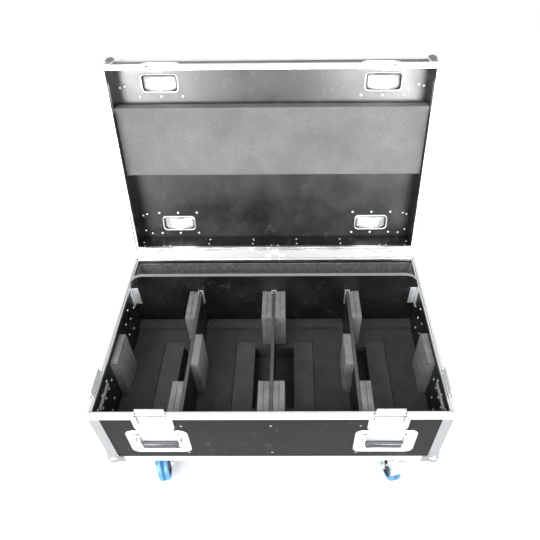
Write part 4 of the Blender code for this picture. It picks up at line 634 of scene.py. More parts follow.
insideRivets = []
outsideRivets = []
cupPlaces = {"front_left": (-1, cup["fromEdge"]), "front_right": (1, cup["fromEdge"]),
             "rear_left": (-1, caseSize["depth"] - cup["fromEdge"]),
             "rear_right": (1, caseSize["depth"] - cup["fromEdge"])}
for name, (side, y) in cupPlaces.items():
    place = lidSwing @ Matrix.Translation((side * cup["x"], frontY + y, 0))
    # outside: the flange and the bowl a castor drops into
    long, wide = cup["length"], cup["width"]
    loops = [loopAt(level, cup["flangeLength"] - 2 * inset, cup["flangeWidth"] - 2 * inset,
                    cup["flangeCorner"] - inset)
             for inset, level in ((0, lidTop - cup["plate"]), (0, lidTop - 0.0004), (0.0005, lidTop))]
    loops += [loopAt(level, long + grow, wide + grow, cup["corner"] + grow / 2)
              for grow, level in ((0.008, lidTop), (0.004, lidTop - 0.0003))]
    loops += troughLoops(long, wide, cup["depth"] - cup["plate"], lidTop - 0.0016, cup["corner"])
    meshPiece("pressedCastorCup_" + name, loft(loops, capLast=True), zinc, "lid", place=place,
              nodes=("castor_cup_" + name,))
    # inside: the bowl's back standing through the board, in a rolled collar round its hole
    back = loft(troughLoops(long + 0.003, wide + 0.003, cup["depth"], lidTop - cup["seat"], 0.011),
                capLast=True)
    meshPiece("castorCupBack_" + name, back, milkyZinc, "lid", place=place)
    inner = lidTop - cup["seat"] - cup["board"]
    loops = []
    for turn in range(9):
        angle = math.pi * turn / 8
        grow = cup["lip"] * (1 + math.cos(angle)) / 2
        level = inner - cup["collarRise"] * math.sin(angle) ** 0.8 if 0 < turn < 8 else inner
        wider = cup["collarGap"] + 2 * grow
        loops.append(loopAt(level, long + wider, wide + wider, cup["corner"] + grow))
    meshPiece("castorCupCollar_" + name, loft(loops), milkyZinc, "lid", place=place)
    for column in cup["columns"]:
        for row in (-cup["rows"], cup["rows"]):
            insideRivets.append((place @ Vector((column, row, inner)), lidTurn @ toFloor))
            outsideRivets.append((place @ Vector((column, row, lidTop)), lidTurn @ toSky))
rivetHeads("cupRivetsInside", insideRivets, "lid", milkyZinc, head=0.0042, height=0.0022)
rivetHeads("cupRivetsOutside", outsideRivets, "lid", zinc, head=0.0040, height=0.0010)

print("Case: castors and brake pedals")
castor = {"plateLength": 0.105, "plateWidth": 0.078, "plateCorner": 0.008, "plate": 0.003,
          "plateTop": 0.1277, "raceRadius": 0.029, "race": 0.007, "headTop": 0.1171, "headRadius": 0.033,
          "head": 0.009, "trail": 0.044, "boltX": 0.040, "boltY": 0.029, "cheekIn": 0.0212,
          "cheekOut": 0.0238, "tail": 0.0135, "nut": 0.0092, "nutLength": 0.0048,
          "pinPlace": (0.0376, 0.0, 0.1126)}
wheel = {"radius": 0.050, "tread": 0.0160, "treadDepth": 0.012, "core": 0.0125, "hub": 0.0155,
         "hubWidth": 0.0188, "bore": 0.0068}
pedal = {"half": 0.0248, "length": 0.0618, "thickness": 0.0022, "rise": 0.0042, "lip": 0.0158, "ribs": 5,
         "pinRadius": 0.0036, "ribStart": 0.014, "ribEvery": 0.0085, "ribWire": 0.0011, "ribShare": 0.72}
# bolt under the top plate: its nut, its end and its washer, as radius and height below the plate
boltEnd = ((0, -0.0044), (0.0024, -0.0044), (0.0030, -0.0039), (0.0030, -0.002), (0, -0.002))
boltWasher = ((0, -0.0010), (0.0084, -0.0010), (0.0088, -0.0004), (0.0088, 0.0004), (0, 0.0004))
axleWasher = ((0, 0.0010), (0.0108, 0.0010), (0.0112, -0.0002), (0, -0.0002))
axleEnd = ((0, 0.0048), (0.0030, 0.0048), (0.0040, 0.0040), (0.0040, 0))
brakedCorners = ("front_right", "rear_right")


def hexNut(radius, low, high, along="y"):
    return pullOutline([(radius * math.cos(math.radians(60 * i)), radius * math.sin(math.radians(60 * i)))
                        for i in range(6)], low, high, along, 0.0006)


def mirrored(side):
    # a half profile and its mirror image, from the near face round to the far one
    return side + [(radius, -height) for radius, height in reversed(side)]


def topPlate():
    top, race = castor["plateTop"], castor["raceRadius"]
    low = top - castor["plate"]
    plate = pullOutline(roundedLoop(castor["plateLength"], castor["plateWidth"], castor["plateCorner"]),
                        low, top, "z", 0.0005)
    addBm(plate, turned([(0, low + 0.0005), (race * 0.98, low + 0.0005), (race, low - 0.0012),
                         (race * 0.99, low - 0.003), (race * 0.90, low - 0.0052),
                         (race * 0.86, low - castor["race"]), (0, low - castor["race"])], "z", 40))
    for x in (-1, 1):
        for y in (-1, 1):
            bolt = hexNut(0.0062, low - 0.0034, low + 0.0004, "z")
            addBm(bolt, turned([(radius, low + rise) for radius, rise in boltEnd], "z", 16))
            addBm(bolt, turned([(radius, low + rise) for radius, rise in boltWasher], "z", 24))
            addBm(plate, bolt, Matrix.Translation((x * castor["boltX"], y * castor["boltY"], 0)))
    return plate


def pressedFork():
    # swivel head with its rolled rim, two pressed cheeks that taper to the axle, and the axle's nuts
    top, head, axle, cheekOut = castor["headTop"], castor["headRadius"], wheel["radius"], castor["cheekOut"]
    rimLow = top - castor["head"]
    fork = turned([(0, top), (head * 0.78, top), (head * 0.93, top - 0.0012), (head, top - 0.0042),
                   (head * 0.985, top - 0.0068), (head * 0.95, rimLow), (head * 0.88, rimLow),
                   (head * 0.86, rimLow + 0.0022), (0, rimLow + 0.0026)], "z", 48)
    outline = [(-0.018, rimLow + 0.003), (-0.0165, rimLow - 0.004), (-0.0105, top - 0.026)]
    outline += arcPoints(castor["trail"], axle, castor["tail"], 218, 372, 12)
    outline += [(0.0455, top - 0.034), (0.0330, top - 0.0205), (0.0285, rimLow + 0.003)]
    for side in (-1, 1):
        addBm(fork, pullOutline(outline, *sorted((side * castor["cheekIn"], side * cheekOut)), "y", 0.0007))
        # a pressed rib down each cheek
        addBm(fork, wire([(-0.004, side * cheekOut, top - 0.016), (0.010, side * cheekOut, top - 0.034),
                          (0.026, side * cheekOut, axle + 0.018)], 0.0014, 10))
        nut = hexNut(castor["nut"],
                     *sorted((side * (cheekOut - 0.0003), side * (cheekOut + castor["nutLength"]))))
        addBm(nut, turned([(radius, side * (cheekOut + out)) for radius, out in axleWasher], "y", 30))
        addBm(nut, turned([(radius, side * (cheekOut + out)) for radius, out in axleEnd], "y", 18))
        addBm(fork, nut, Matrix.Translation((castor["trail"], 0, axle)))
    bmesh.ops.recalc_face_normals(fork, faces=fork.faces)
    return fork


def brakeFootPlate():
    half, far, thick = pedal["half"], pedal["length"], pedal["thickness"]
    rise, pin = pedal["rise"], pedal["pinRadius"]
    profile = [(-pin, pin), *arcPoints(0, 0, pin, 180, 270, 5), *arcPoints(0, 0, pin, 270, 340, 4),
               (0.0055, rise - 0.0008), (far - 0.010, rise - 0.0004),
               *arcPoints(far - 0.0072, rise - 0.0050, 0.0045, 90, 0, 6), (far - thick, -pedal["lip"]),
               (far, -pedal["lip"]), *arcPoints(far - 0.0068, rise - 0.0048, 0.0068, 0, 90, 8),
               (0.004, rise + thick - 0.0004)]
    plate = pullOutline(profile, -half, half, "y", 0.0006)
    for i in range(pedal["ribs"]):
        x, ribZ = pedal["ribStart"] + pedal["ribEvery"] * i, rise + thick - 0.0006
        reach = half * pedal["ribShare"]
        addBm(plate, wire([(x, -reach, ribZ), (x, reach, ribZ)], pedal["ribWire"], 10))
    bmesh.ops.recalc_face_normals(plate, faces=plate.faces)
    return plate


for name in ("front_left", "front_right", "rear_left", "rear_right"):
    # the swivel and the heading follow from where the frame's plate and wheel stand
    plateLow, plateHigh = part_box("castor_plate_" + name)
    wheelLow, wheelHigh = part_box("castor_wheel_" + name)
    swivel = Vector(((plateLow[0] + plateHigh[0]) / 2, (plateLow[1] + plateHigh[1]) / 2, 0))
    hub = Vector(((wheelLow[0] + wheelHigh[0]) / 2, (wheelLow[1] + wheelHigh[1]) / 2, 0))
    heading = math.atan2(hub.y - swivel.y, hub.x - swivel.x)
    forkPlace = Matrix.Translation(swivel) @ Matrix.Rotation(heading, 4, "Z")
    meshPiece("boltedTopPlate_" + name, topPlate(), zinc, "case_base", place=Matrix.Translation(swivel),
              nodes=("castor_plate_" + name,))
    meshPiece("pressedFork_" + name, pressedFork(), zinc, "castor_fork_" + name, place=forkPlace,
              nodes=("castor_fork_" + name,))
    # wheel: elastic tread crowned between two small shoulders, on a core with a sunk web and a hub
    wheelPlace = forkPlace @ Matrix.Translation((castor["trail"], 0, wheel["radius"]))
    rim, half, inner = wheel["radius"], wheel["tread"], wheel["radius"] - wheel["treadDepth"]
    crown = [(rim, 0), (rim - 0.0001, half * 0.55), (rim - 0.0007, half * 0.80),
             (rim - 0.0026, half * 0.95), (rim - 0.0052, half), (inner + 0.0016, half),
             (inner + 0.0004, half - 0.0006), (inner, half - 0.002)]
    tyre = turned(mirrored(crown) + [(inner, 0)], "y", 64)
    meshPiece("elasticTread_" + name, tyre, tread, "castor_wheel_" + name, place=wheelPlace,
              nodes=("castor_wheel_" + name,))
    core, hubRadius, hubHalf = wheel["core"], wheel["hub"], wheel["hubWidth"]
    disc = turned(mirrored([(inner + 0.0002, core + 0.003), (inner - 0.0026, core + 0.003),
                            (inner - 0.0044, core - 0.0006), (hubRadius + 0.0050, core - 0.0026),
                            (hubRadius + 0.0012, core + 0.0010), (hubRadius, hubHalf - 0.0008),
                            (hubRadius - 0.0008, hubHalf), (wheel["bore"], hubHalf)]), "y", 64)
    meshPiece("nylonCore_" + name, disc, wheelCore, "castor_wheel_" + name, place=wheelPlace)
    if name in brakedCorners:
        meshPiece("brakeFootPlate_" + name, brakeFootPlate(), zinc, "brake_pedal_" + name,
                  place=forkPlace @ Matrix.Translation(castor["pinPlace"]), nodes=("brake_pedal_" + name,))

print("Case: dividers and foam")
foamGap = 0.0005
divider = {"x": 0.240, "half": 0.005, "front": 0.0128, "back": 0.464, "top": 0.025, "foot": 0.2255,
           "endThick": 0.032, "midThick": 0.022, "foreStart": 0.0131, "foreEnd": 0.1228,
           "rearStart": 0.3535, "rearEnd": 0.4655, "midStart": 0.178, "midEnd": 0.288, "blockFoot": 0.1795,
           "ledgeFoot": 0.1675, "clip": 0.0125, "clipRoom": 0.0025, "seam": 0.0004, "outerLow": 0.0004,
           "middleLow": 0.0005, "innerLow": 0.0012}
cutFoam = {"edge": 0.0016, "cell": 0.013, "wander": 0.0007, "wanderSize": 0.030, "noiseSeed": 7}
# mathutils seeds its noise by the clock unless it is told otherwise
noise.seed_set(cutFoam["noiseSeed"])


def cutUp(bm, step):
    # cuts a form into cells of about one step, so that it can be roughened
    for axis in range(3):
        values = [v.co[axis] for v in bm.verts]
        low, high = min(values), max(values)
        count = int((high - low) / step)
        for i in range(1, count + 1):
            normal = [float(other == axis) for other in range(3)]
            point = [part * (low + (high - low) * i / (count + 1)) for part in normal]
            bmesh.ops.bisect_plane(bm, geom=bm.verts[:] + bm.edges[:] + bm.faces[:], plane_co=point,
                                   plane_no=normal, dist=1e-6)


def foamBlock(name, outline, low, high, finish, body, seed, place=interior, nodes=()):
    # a knife-cut block: eased rims, sides that wander by half a millimetre
    bm = pullOutline(outline, low, high, "z", cutFoam["edge"])
    cutUp(bm, cutFoam["cell"])
    for vert in bm.verts:
        spot = vert.co / cutFoam["wanderSize"] + Vector((seed, seed * 0.7, 0))
        vert.co += noise.noise_vector(spot) * cutFoam["wander"]
    piece = meshPiece(name, bm, finish, body, smoothBelow=50, place=place, nodes=nodes)


def oblong(xs, ys):
    (x0, x1), (y0, y1) = xs, ys
    return [(x0, y0), (x1, y0), (x1, y1), (x0, y1)]


blockSides = {"left": {-1: "ends", 1: "middle"}, "middle": {-1: "ends", 1: "ends"},
              "right": {-1: "middle", 1: "ends"}}
for index, (name, sides) in enumerate(blockSides.items()):
    centre = (index - 1) * divider["x"]
    body = "divider_" + name
    board = softBox((centre - divider["half"], divider["front"], -divider["foot"]),
                    (centre + divider["half"], divider["back"], -divider["top"]), 0.0009)
    for face in board.faces:
        face.material_index = int(face.normal.z > 0.5)
    meshPiece("dividerBoard_" + name, board, [laminate, dividerEdge], body,
              place=interior, nodes=(body,))
    for side, kind in sides.items():
        face = centre + side * divider["half"]
        if kind == "middle":
            block = oblong((face, face + side * divider["midThick"]),
                           (divider["midStart"], divider["midEnd"]))
            foamBlock("middleBlock_" + name, block, -divider["blockFoot"],
                      -divider["top"] - divider["middleLow"], foamCut, body, index + 7.7)
            continue
        # two sheets glued face to face: the inner one is notched round the wall clip
        joint = face + side * divider["endThick"] * 0.5
        outer = face + side * divider["endThick"]
        room = face + side * divider["clipRoom"]
        for where, foot in (("fore", divider["blockFoot"]), ("rear", divider["ledgeFoot"])):
            start, end = divider[where + "Start"], divider[where + "End"]
            if where == "fore":
                near = start + divider["clip"]
                inner = [(face, near), (face, end), (joint, end), (joint, start), (room, start),
                         (room, near)]
            else:
                near = end - divider["clip"]
                inner = [(face, start), (face, near), (room, near), (room, end), (joint, end),
                         (joint, start)]
            label = where.capitalize() + "block_" + name + ("l" if side < 0 else "r")
            foamBlock("inner" + label, inner, -foot, -divider["top"] - divider["innerLow"], foamCut, body,
                      index + side * 2.3)
            foamBlock("outer" + label, oblong((joint + side * divider["seam"], outer), (start, end)), -foot,
                      -divider["top"] - divider["outerLow"], foam, body, index + side * 4.1)

# Fitted floor foam, drawn as steps on a plan: each rule sets the height of the cells inside its rectangle,
# and its finish. Depths are below the rim, and outs are from a divider's middle
floorFoam = {"front": 0.0113, "back": 0.5887, "ledge": 0.428, "floorDrop": 0.180, "ledgeDrop": 0.168,
             "partitionDrop": 0.214, "rearDrop": 0.2427, "bottomDrop": 0.2507, "slotDrop": 0.226,
             "slotOut": 0.0055, "clipOut": 0.0075, "foreClip": 0.0238, "rearClip": 0.4531,
             "pocket": (0.125, 0.352), "pocketDrop": 0.232, "pocketOut": 0.0635, "stripOut": 0.1265,
             "stripEnd": 0.375, "stripRise": 0.0006, "seam": 0.0014, "seamDepth": 0.006, "lining": 0.008,
             "liningDrop": 0.015, "wallPad": 0.022, "wallPadDrop": 0.025, "round": 0.0010,
             "roundFrom": 0.0045, "sharpFrom": 1.2}
partition = {"front": 0.466, "back": 0.478}
finishKinds = {"floor": 0, "strip": 1, "lining": 2, "cut": 3}
half = insideX - foamGap
across, front, back = (-half, half), floorFoam["front"], floorFoam["back"]
partitionFront, partitionBack = partition["front"] - foamGap, partition["back"] + foamGap
plan = [(across, (front, floorFoam["ledge"]), "floorDrop", "floor"),
        (across, (floorFoam["ledge"], partitionFront), "ledgeDrop", "floor"),
        (across, (partitionFront, partitionBack), "partitionDrop", "floor"),
        (across, (partitionBack, back), "rearDrop", "lining")]
for centre in (-divider["x"], 0, divider["x"]):
    plan += [((centre - out, centre + out), along, "slotDrop", "floor") for out, along in
             ((floorFoam["slotOut"], (front, partitionFront)),
              (floorFoam["clipOut"], (front, floorFoam["foreClip"])),
              (floorFoam["clipOut"], (floorFoam["rearClip"], partitionFront)))]
rules = [(xEnds, yEnds, -floorFoam[drop], finishKinds[kind]) for xEnds, yEnds, drop, kind in plan]
for centre, side in ((-divider["x"], -1), (0, -1), (0, 1), (divider["x"], 1)):
    # a pocket beside each outer or middle slot, then a separate strip of foam with open seams round it
    edges = [centre + side * floorFoam[out] for out in ("slotOut", "pocketOut", "stripOut")]
    edges.append(edges[-1] + side * floorFoam["seam"])
    pocket, strip, seam = (tuple(sorted(edges[i:i + 2])) for i in range(3))
    stripEnd, seamLow = floorFoam["stripEnd"], -floorFoam["floorDrop"] - floorFoam["seamDepth"]
    rules += [(pocket, floorFoam["pocket"], -floorFoam["pocketDrop"], 0),
              (strip, (front, stripEnd), -floorFoam["floorDrop"] + floorFoam["stripRise"],
               finishKinds["strip"]),
              (seam, (front, stripEnd + floorFoam["seam"]), seamLow, 0),
              (strip, (stripEnd, stripEnd + floorFoam["seam"]), seamLow, 0)]
rules.append((across, (back - floorFoam["lining"], back), -floorFoam["liningDrop"], finishKinds["lining"]))
for side in (-1, 1):
    for part, along, kind in (("lining", (partitionBack, back), "lining"),
                              ("wallPad", (divider["midStart"], divider["midEnd"]), "cut")):
        ends = tuple(sorted((side * half, side * (half - floorFoam[part]))))
        rules.append((ends, along, -floorFoam[part + "Drop"], finishKinds[kind]))
xs = sorted({round(v, 6) for rule in rules for v in rule[0]})
ys = sorted({round(v, 6) for rule in rules for v in rule[1]})
bottom = -floorFoam["bottomDrop"]


def cellOf(x, y):
    level, kind = bottom, 0
    for (x0, x1), (y0, y1), height, finishIndex in rules:
        if x0 < x < x1 and y0 < y < y1:
            level, kind = height, finishIndex
    return level, kind


cells = [[cellOf((x0 + x1) / 2, (y0 + y1) / 2) for y0, y1 in zip(ys, ys[1:])] for x0, x1 in zip(xs, xs[1:])]
slab = bmesh.new()


def addQuad(corners, kind):
    face = slab.faces.new([slab.verts.new(c) for c in corners])
    face.material_index = kind


def addWall(start, end, here, there):
    # the upright face between two cells, in the finish of the higher one
    if abs(here[0] - there[0]) > 1e-6:
        addQuad([(*start, here[0]), (*start, there[0]), (*end, there[0]), (*end, here[0])],
                max(here, there)[1])


outside = (bottom, 0)
for i, (x0, x1) in enumerate(zip(xs, xs[1:])):
    for j, (y0, y1) in enumerate(zip(ys, ys[1:])):
        cell = cells[i][j]
        for level, kind in (cell, (bottom, cell[1])):
            addQuad([(x0, y0, level), (x1, y0, level), (x1, y1, level), (x0, y1, level)], kind)
        addWall((x1, y0), (x1, y1), cell, cells[i + 1][j] if i + 2 < len(xs) else outside)
        addWall((x1, y1), (x0, y1), cell, cells[i][j + 1] if j + 2 < len(ys) else outside)
        if i == 0:
            addWall((x0, y1), (x0, y0), cell, outside)
        if j == 0:
            addWall((x0, y0), (x1, y0), cell, outside)
bmesh.ops.remove_doubles(slab, verts=slab.verts, dist=1e-6)
bmesh.ops.recalc_face_normals(slab, faces=slab.faces)
rims = [e for e in slab.edges
        if len(e.link_faces) == 2 and e.calc_face_angle(0) > floorFoam["sharpFrom"] and e.is_convex
        and min(edge.calc_length() for f in e.link_faces for edge in f.edges) > floorFoam["roundFrom"]]
bmesh.ops.bevel(slab, geom=rims, offset=floorFoam["round"], segments=2, profile=0.5, affect="EDGES")
fitted = meshPiece("fittedFloorFoam", slab, [shadedFoamFloor, shadedFoamStrip, foamLining, foamCut], "case_base",
                   smoothBelow=40, place=interior, nodes=("fitted_base_foam",))

lidPad = {"front": 0.126, "back": 0.337, "thickness": 0.050, "gap": 0.0003}
padTop = lidInner - lidPad["gap"]
foamBlock("lidFoamPad", oblong(across, (frontY + lidPad["front"], frontY + lidPad["back"])),
          padTop - lidPad["thickness"], padTop, litFoamLid, "lid", 3.3, lidSwing, nodes=("lid_foam_pad",))

print("Case: boards, extrusions and rivets")
clipLook = {"base": "#e6e8ea", "clear": 0.0002}
# distances in from the case's foot, rim and sides; the lid has no uprights between its ball corners, so that
# their span lies above it
# painted shade: the ribs' grey and the ball corners' greys stand in for the darker reflections of the
# uprights and ball corners
cornerShadeLook = {"rib": "#7b7d7f", "baseBall": "#9b9d9f", "lidBall": "#86888a", "ribHalf": 0.00125,
            "ribShares": (0.55, 0.85), "fade": 0.002, "foot": 0.033, "top": 0.020, "baseReach": 0.047,
            "lidReach": 0.024, "aboveLid": (2.0, 3.0)}


def finishNode(name, finish):
    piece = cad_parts[name]
    piece.data.materials.clear()
    piece.data.materials.append(finish)


def laminateWithClips(name, look, place, beyond, paintedTopHighlight=False):
    # the board's laminate as far as its face, bright zinc clips on one side of that and, for a board whose
    # top shows, a painted highlight: its upward faces painted pale grey
    finish = phenolicLaminate(name, look)
    tree = finish.node_tree
    shader = tree.nodes["Principled BSDF"]
    split = node(tree, "SeparateXYZ", Vector=node(tree, "TexCoord").outputs["Object"])
    clip = node(tree, "Math", {"operation": beyond}, i0=split.outputs["Y"], i1=place)
    colour = shader.inputs["Base Color"].links[0].from_socket
    # painted highlight: the board's upward faces painted pale
    if paintedTopHighlight:
        facing = node(tree, "SeparateXYZ", Vector=node(tree, "NewGeometry").outputs["True Normal"])
        upward = node(tree, "MapRange", Value=facing.outputs["Z"], From_Min=0.05, From_Max=0.15)
        highlightedTop = node(tree, "Mix", colourMix, i0=upward, i6=colour, i7=linear(plyHighlightLook["base"]))
        colour = highlightedTop.outputs[2]
    metal = node(tree, "Mix", colourMix, i0=clip, i6=colour, i7=linear(clipLook["base"]))
    tree.links.new(metal.outputs[2], shader.inputs["Base Color"])
    tree.links.new(clip.outputs[0], shader.inputs["Metallic"])
    return finish


def cornersWithPaintedShade(name, low, high, reachFrom, ballShadeColour):
    # the extrusion's aluminium with painted shade for its darker reflections: the uprights painted darker in
    # lengthwise ribs about 2.5 mm apart, and the ball corners painted grey
    finish = wornMetalWithShade(name, aluminiumLook)
    tree = finish.node_tree
    shader = tree.nodes["Principled BSDF"]
    fade, ribHalf = cornerShadeLook["fade"], cornerShadeLook["ribHalf"]
    place = node(tree, "SeparateXYZ", Vector=node(tree, "TexCoord").outputs["Object"])
    over = node(tree, "MapRange", Value=place.outputs["Z"], From_Min=low - fade, From_Max=low + fade)
    under = node(tree, "MapRange", Value=place.outputs["Z"], From_Min=high - fade, From_Max=high + fade,
                 To_Min=1.0, To_Max=0.0)
    upright = node(tree, "Math", {"operation": "MULTIPLY"}, i0=over, i1=under)
    across = node(tree, "Math", {"operation": "ADD"}, i0=place.outputs["X"], i1=place.outputs["Y"])
    ribs = node(tree, "Math", {"operation": "PINGPONG"}, i0=across, i1=ribHalf)
    ribbed = node(tree, "MapRange", Value=ribs, From_Max=ribHalf,
                  To_Min=cornerShadeLook["ribShares"][0], To_Max=cornerShadeLook["ribShares"][1])
    ribShare = node(tree, "Math", {"operation": "MULTIPLY"}, i0=ribbed, i1=upright)
    # painted shade on the uprights, darker in ribs
    dulled = node(tree, "Mix", colourMix, i0=ribShare,
                  i6=shader.inputs["Base Color"].links[0].from_socket, i7=linear(cornerShadeLook["rib"]))
    sideways = node(tree, "Math", {"operation": "ABSOLUTE"}, i0=place.outputs["X"])
    ball = node(tree, "MapRange", Value=sideways, From_Min=reachFrom, From_Max=reachFrom + fade)
    ends = node(tree, "Math", {"operation": "SUBTRACT"}, i0=1.0, i1=upright)
    ballShadeShare = node(tree, "Math", {"operation": "MULTIPLY"}, i0=ball, i1=ends)
    ballShaded = node(tree, "Mix", colourMix, i0=ballShadeShare, i6=dulled.outputs[2], i7=linear(ballShadeColour))
    tree.links.new(ballShaded.outputs[2], shader.inputs["Base Color"])
    return finish


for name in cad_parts:
    if name.endswith(("back_board", "floor_board", "left_board", "right_board", "lid_boards")):
        finishNode(name, laminate)
    elif name.startswith(("base_rim", "lid_rim")):
        finishNode(name, aluminium)
    elif name.startswith("hinge_"):
        finishNode(name, zinc)
finishNode("base_front_board",
           laminateWithClips("frontBoardLaminate", rubbedLook,
                             frontY + caseSize["wall"] + clipLook["clear"], "GREATER_THAN"))
finishNode("rear_partition",
           laminateWithClips("partitionLaminate", laminateLook,
                             frontY + partition["front"] - clipLook["clear"], "LESS_THAN", paintedTopHighlight=True))
finishNode("base_edge_extrusions",
           cornersWithPaintedShade("baseEdgeAluminium", bottomZ + cornerShadeLook["foot"], rimZ - cornerShadeLook["top"],
                       halfWidth - cornerShadeLook["baseReach"], cornerShadeLook["baseBall"]))
finishNode("lid_edge_extrusions",
           cornersWithPaintedShade("lidEdgeAluminium", *cornerShadeLook["aboveLid"], halfWidth - cornerShadeLook["lidReach"],
                       cornerShadeLook["lidBall"]))

# Pop rivets through the extrusions, clips, dishes and hinges, as places behind the front and below the rim
edgeRivet = {"frontX": (-0.24, 0.0, 0.24), "frontDrops": (0.057, 0.211), "drops": (0.045, 0.131, 0.217),
             "fromCorner": 0.018}
wallRivets = ((0.040, 0.041), (0.086, 0.041), (0.132, 0.041), (0.065, 0.073), (0.096, 0.073),
              (0.127, 0.073), (0.156, 0.073), (0.131, 0.131), (0.098, 0.142), (0.395, 0.038),
              (0.395, 0.080), (0.395, 0.130), (0.440, 0.077), (0.352, 0.058), (0.352, 0.108))
bracket = {"rivetX": 0.4555, "rivetDrops": (0.030, 0.066), "reach": 0.0235, "tuck": 0.0008, "low": -0.084,
           "high": -0.010, "front": 0.0022, "back": 0.0004, "leaf": 0.0200, "sheet": 0.0020}
latchBack = {"thickness": 0.0022, "front": 0.047, "back": 0.132, "low": -0.060, "high": -0.044}
channel = {"inside": 0.0056, "outside": 0.0074, "front": 0.4532, "web": 0.4641, "back": 0.4656,
           "low": -0.077, "high": -0.0185, "webHigh": -0.0215}
depth = caseSize["depth"]
outsideSpots = [((x, frontY + caseSize["edgeStep"], rimZ - drop), toFront)
                for x in edgeRivet["frontX"] for drop in edgeRivet["frontDrops"]]
insideSpots = []
for side in (-1, 1):
    cornerX = side * (halfWidth - edgeRivet["fromCorner"])
    for drop in edgeRivet["drops"]:
        outsideSpots += [((cornerX, frontY, rimZ - drop), toFront),
                         ((cornerX, frontY + depth, rimZ - drop), toBack)]
        outsideSpots += [((side * halfWidth, frontY + y, rimZ - drop), Vector((side, 0, 0)))
                         for y in (edgeRivet["fromCorner"], depth - edgeRivet["fromCorner"])]
    insideSpots += [((side * insideX, frontY + y, rimZ - drop), Vector((-side, 0, 0)))
                    for y, drop in wallRivets]
    insideSpots += [((side * bracket["rivetX"], frontY + partition["front"], rimZ - drop), toFront)
                    for drop in bracket["rivetDrops"]]
rivetHeads("edgeRivets", outsideSpots, "case_base", rivetZinc, head=0.0036, height=0.0008)
rivetHeads("innerRivets", insideSpots, "case_base", milkyZinc, head=0.0040, height=0.0020)

# The backs of the side latches' dishes, the brackets that hold the partition's ends, and its channel clips
backs = bmesh.new()
for side in (-1, 1):
    addBox(backs, (side * insideX, side * (insideX - latchBack["thickness"])),
           (latchBack["front"], latchBack["back"]), (latchBack["low"], latchBack["high"]), 0.0009)
    zs = (bracket["low"], bracket["high"])
    for xs, behind in (((insideX - bracket["tuck"], insideX - bracket["reach"]), bracket["front"]),
                       ((insideX, insideX - bracket["sheet"]), bracket["leaf"])):
        addBox(backs, (side * xs[0], side * xs[1]),
               (partition["front"] - behind, partition["front"] - bracket["back"]), zs, 0.0007)
for centre in (-divider["x"], 0.0, divider["x"]):
    for side in (-1, 1):
        addBox(backs, (centre + side * channel["inside"], centre + side * channel["outside"]),
               (channel["front"], channel["back"] - 0.0002), (channel["low"], channel["high"]), 0.0006)
    addBox(backs, (centre - channel["outside"], centre + channel["outside"]),
           (channel["web"], channel["back"]), (channel["low"], channel["webHigh"]), 0.0006)
meshPiece("partitionBrackets", backs, milkyZinc, "case_base", place=interior)

# On the lid's top board: through the end extrusions and corner brackets, inward from the wall and along it
topRivets = ((0.012, depth - 0.095), (0.026, depth - 0.100), (0.012, 0.300), (0.026, 0.298), (0.012, 0.078),
             (0.028, 0.074), (0.012, depth - 0.036), (0.034, depth - 0.024), (0.020, 0.022), (0.055, 0.020))
# On its hinge-side wall, across and above the rim: pairs through the extrusion, and the hinges' own rivets
hingeRivets = [(x, rise) for x in (-0.228, -0.076, 0.076, 0.228) for rise in (0.028, 0.059)]
hingeRivets += [(x + off, 0.016) for x in (-0.372, 0.0, 0.372) for off in (-0.011, 0.011)]
hingeRivets += [(side * x, rise) for side in (-1, 1) for x, rise in ((0.448, 0.014), (0.458, 0.040))]
lidSpots = [(lidSwing @ Vector((side * (insideX - inward), frontY + y, lidInner)), lidTurn @ toFloor)
            for side in (-1, 1) for inward, y in topRivets]
lidSpots += [(lidSwing @ Vector((x, frontY + depth - caseSize["wall"], rimZ + rise)), lidTurn @ toFront)
             for x, rise in hingeRivets]
rivetHeads("lidRivets", lidSpots, "lid", milkyZinc, head=0.0036, height=0.0018)

print("Case: floor, light and camera")
studio = {"floor": 14.0, "sky": 0.62, "skySeen": 1.0, "floorColour": "#fbfbfb", "floorRoughness": 0.9,
          "floorSeen": 0.36}
lamps = {"softKey": {"place": (-1.6, -2.2, 3.0), "target": (0, 0, 0.4), "size": (2.4, 2.0), "power": 78},
         "softFill": {"place": (2.0, -1.4, 2.2), "target": (0, 0, 0.4), "size": (2.0, 2.0), "power": 18}}
# seen only as a mirrored glow on the open lid
glow = {"y": -2.1, "z": 1.12, "size": (1.2, 0.55), "power": 150, "targetShare": 0.2, "targetY": 0.3,
        "targetZ": 0.9}
glowPlaces = {"lidGlowLeft": -1.32, "lidGlowRight": 1.10}


def seenRays(tree):
    # one for the rays that show a surface itself: from the camera, mirrored, or through something clear
    rays = node(tree, "LightPath")
    direct = node(tree, "Math", {"operation": "MAXIMUM"}, i0=rays.outputs["Is Camera Ray"],
                  i1=rays.outputs["Is Glossy Ray"])
    through = node(tree, "Math", {"operation": "MAXIMUM"}, i0=direct,
                   i1=rays.outputs["Is Transmission Ray"])
    return through.outputs[0]


def paintedBackdrop():
    # matt white sweep: its own light reaches only the camera and mirror-like rays, so it reads as plain
    # white round the soft shadow
    finish = bpy.data.materials.new("paintedBackdrop")
    finish.use_nodes = True
    tree = finish.node_tree
    shader = tree.nodes["Principled BSDF"]
    shader.inputs["Base Color"].default_value = linear(studio["floorColour"])
    shader.inputs["Roughness"].default_value = studio["floorRoughness"]
    shader.inputs["Emission Color"].default_value = (1, 1, 1, 1)
    level = node(tree, "Math", {"operation": "MULTIPLY"}, i0=seenRays(tree), i1=studio["floorSeen"])
    tree.links.new(level.outputs[0], shader.inputs["Emission Strength"])
    return finish


reach = studio["floor"]
floorMesh = bpy.data.meshes.new("paleFloor")
floorMesh.from_pydata([(-reach, -reach, 0), (reach, -reach, 0), (reach, reach, 0), (-reach, reach, 0)], [],
                      [(0, 1, 2, 3)])
floorPiece = bpy.data.objects.new("paleFloor", floorMesh)
floorMesh.materials.append(paintedBackdrop())
bpy.context.scene.collection.objects.link(floorPiece)

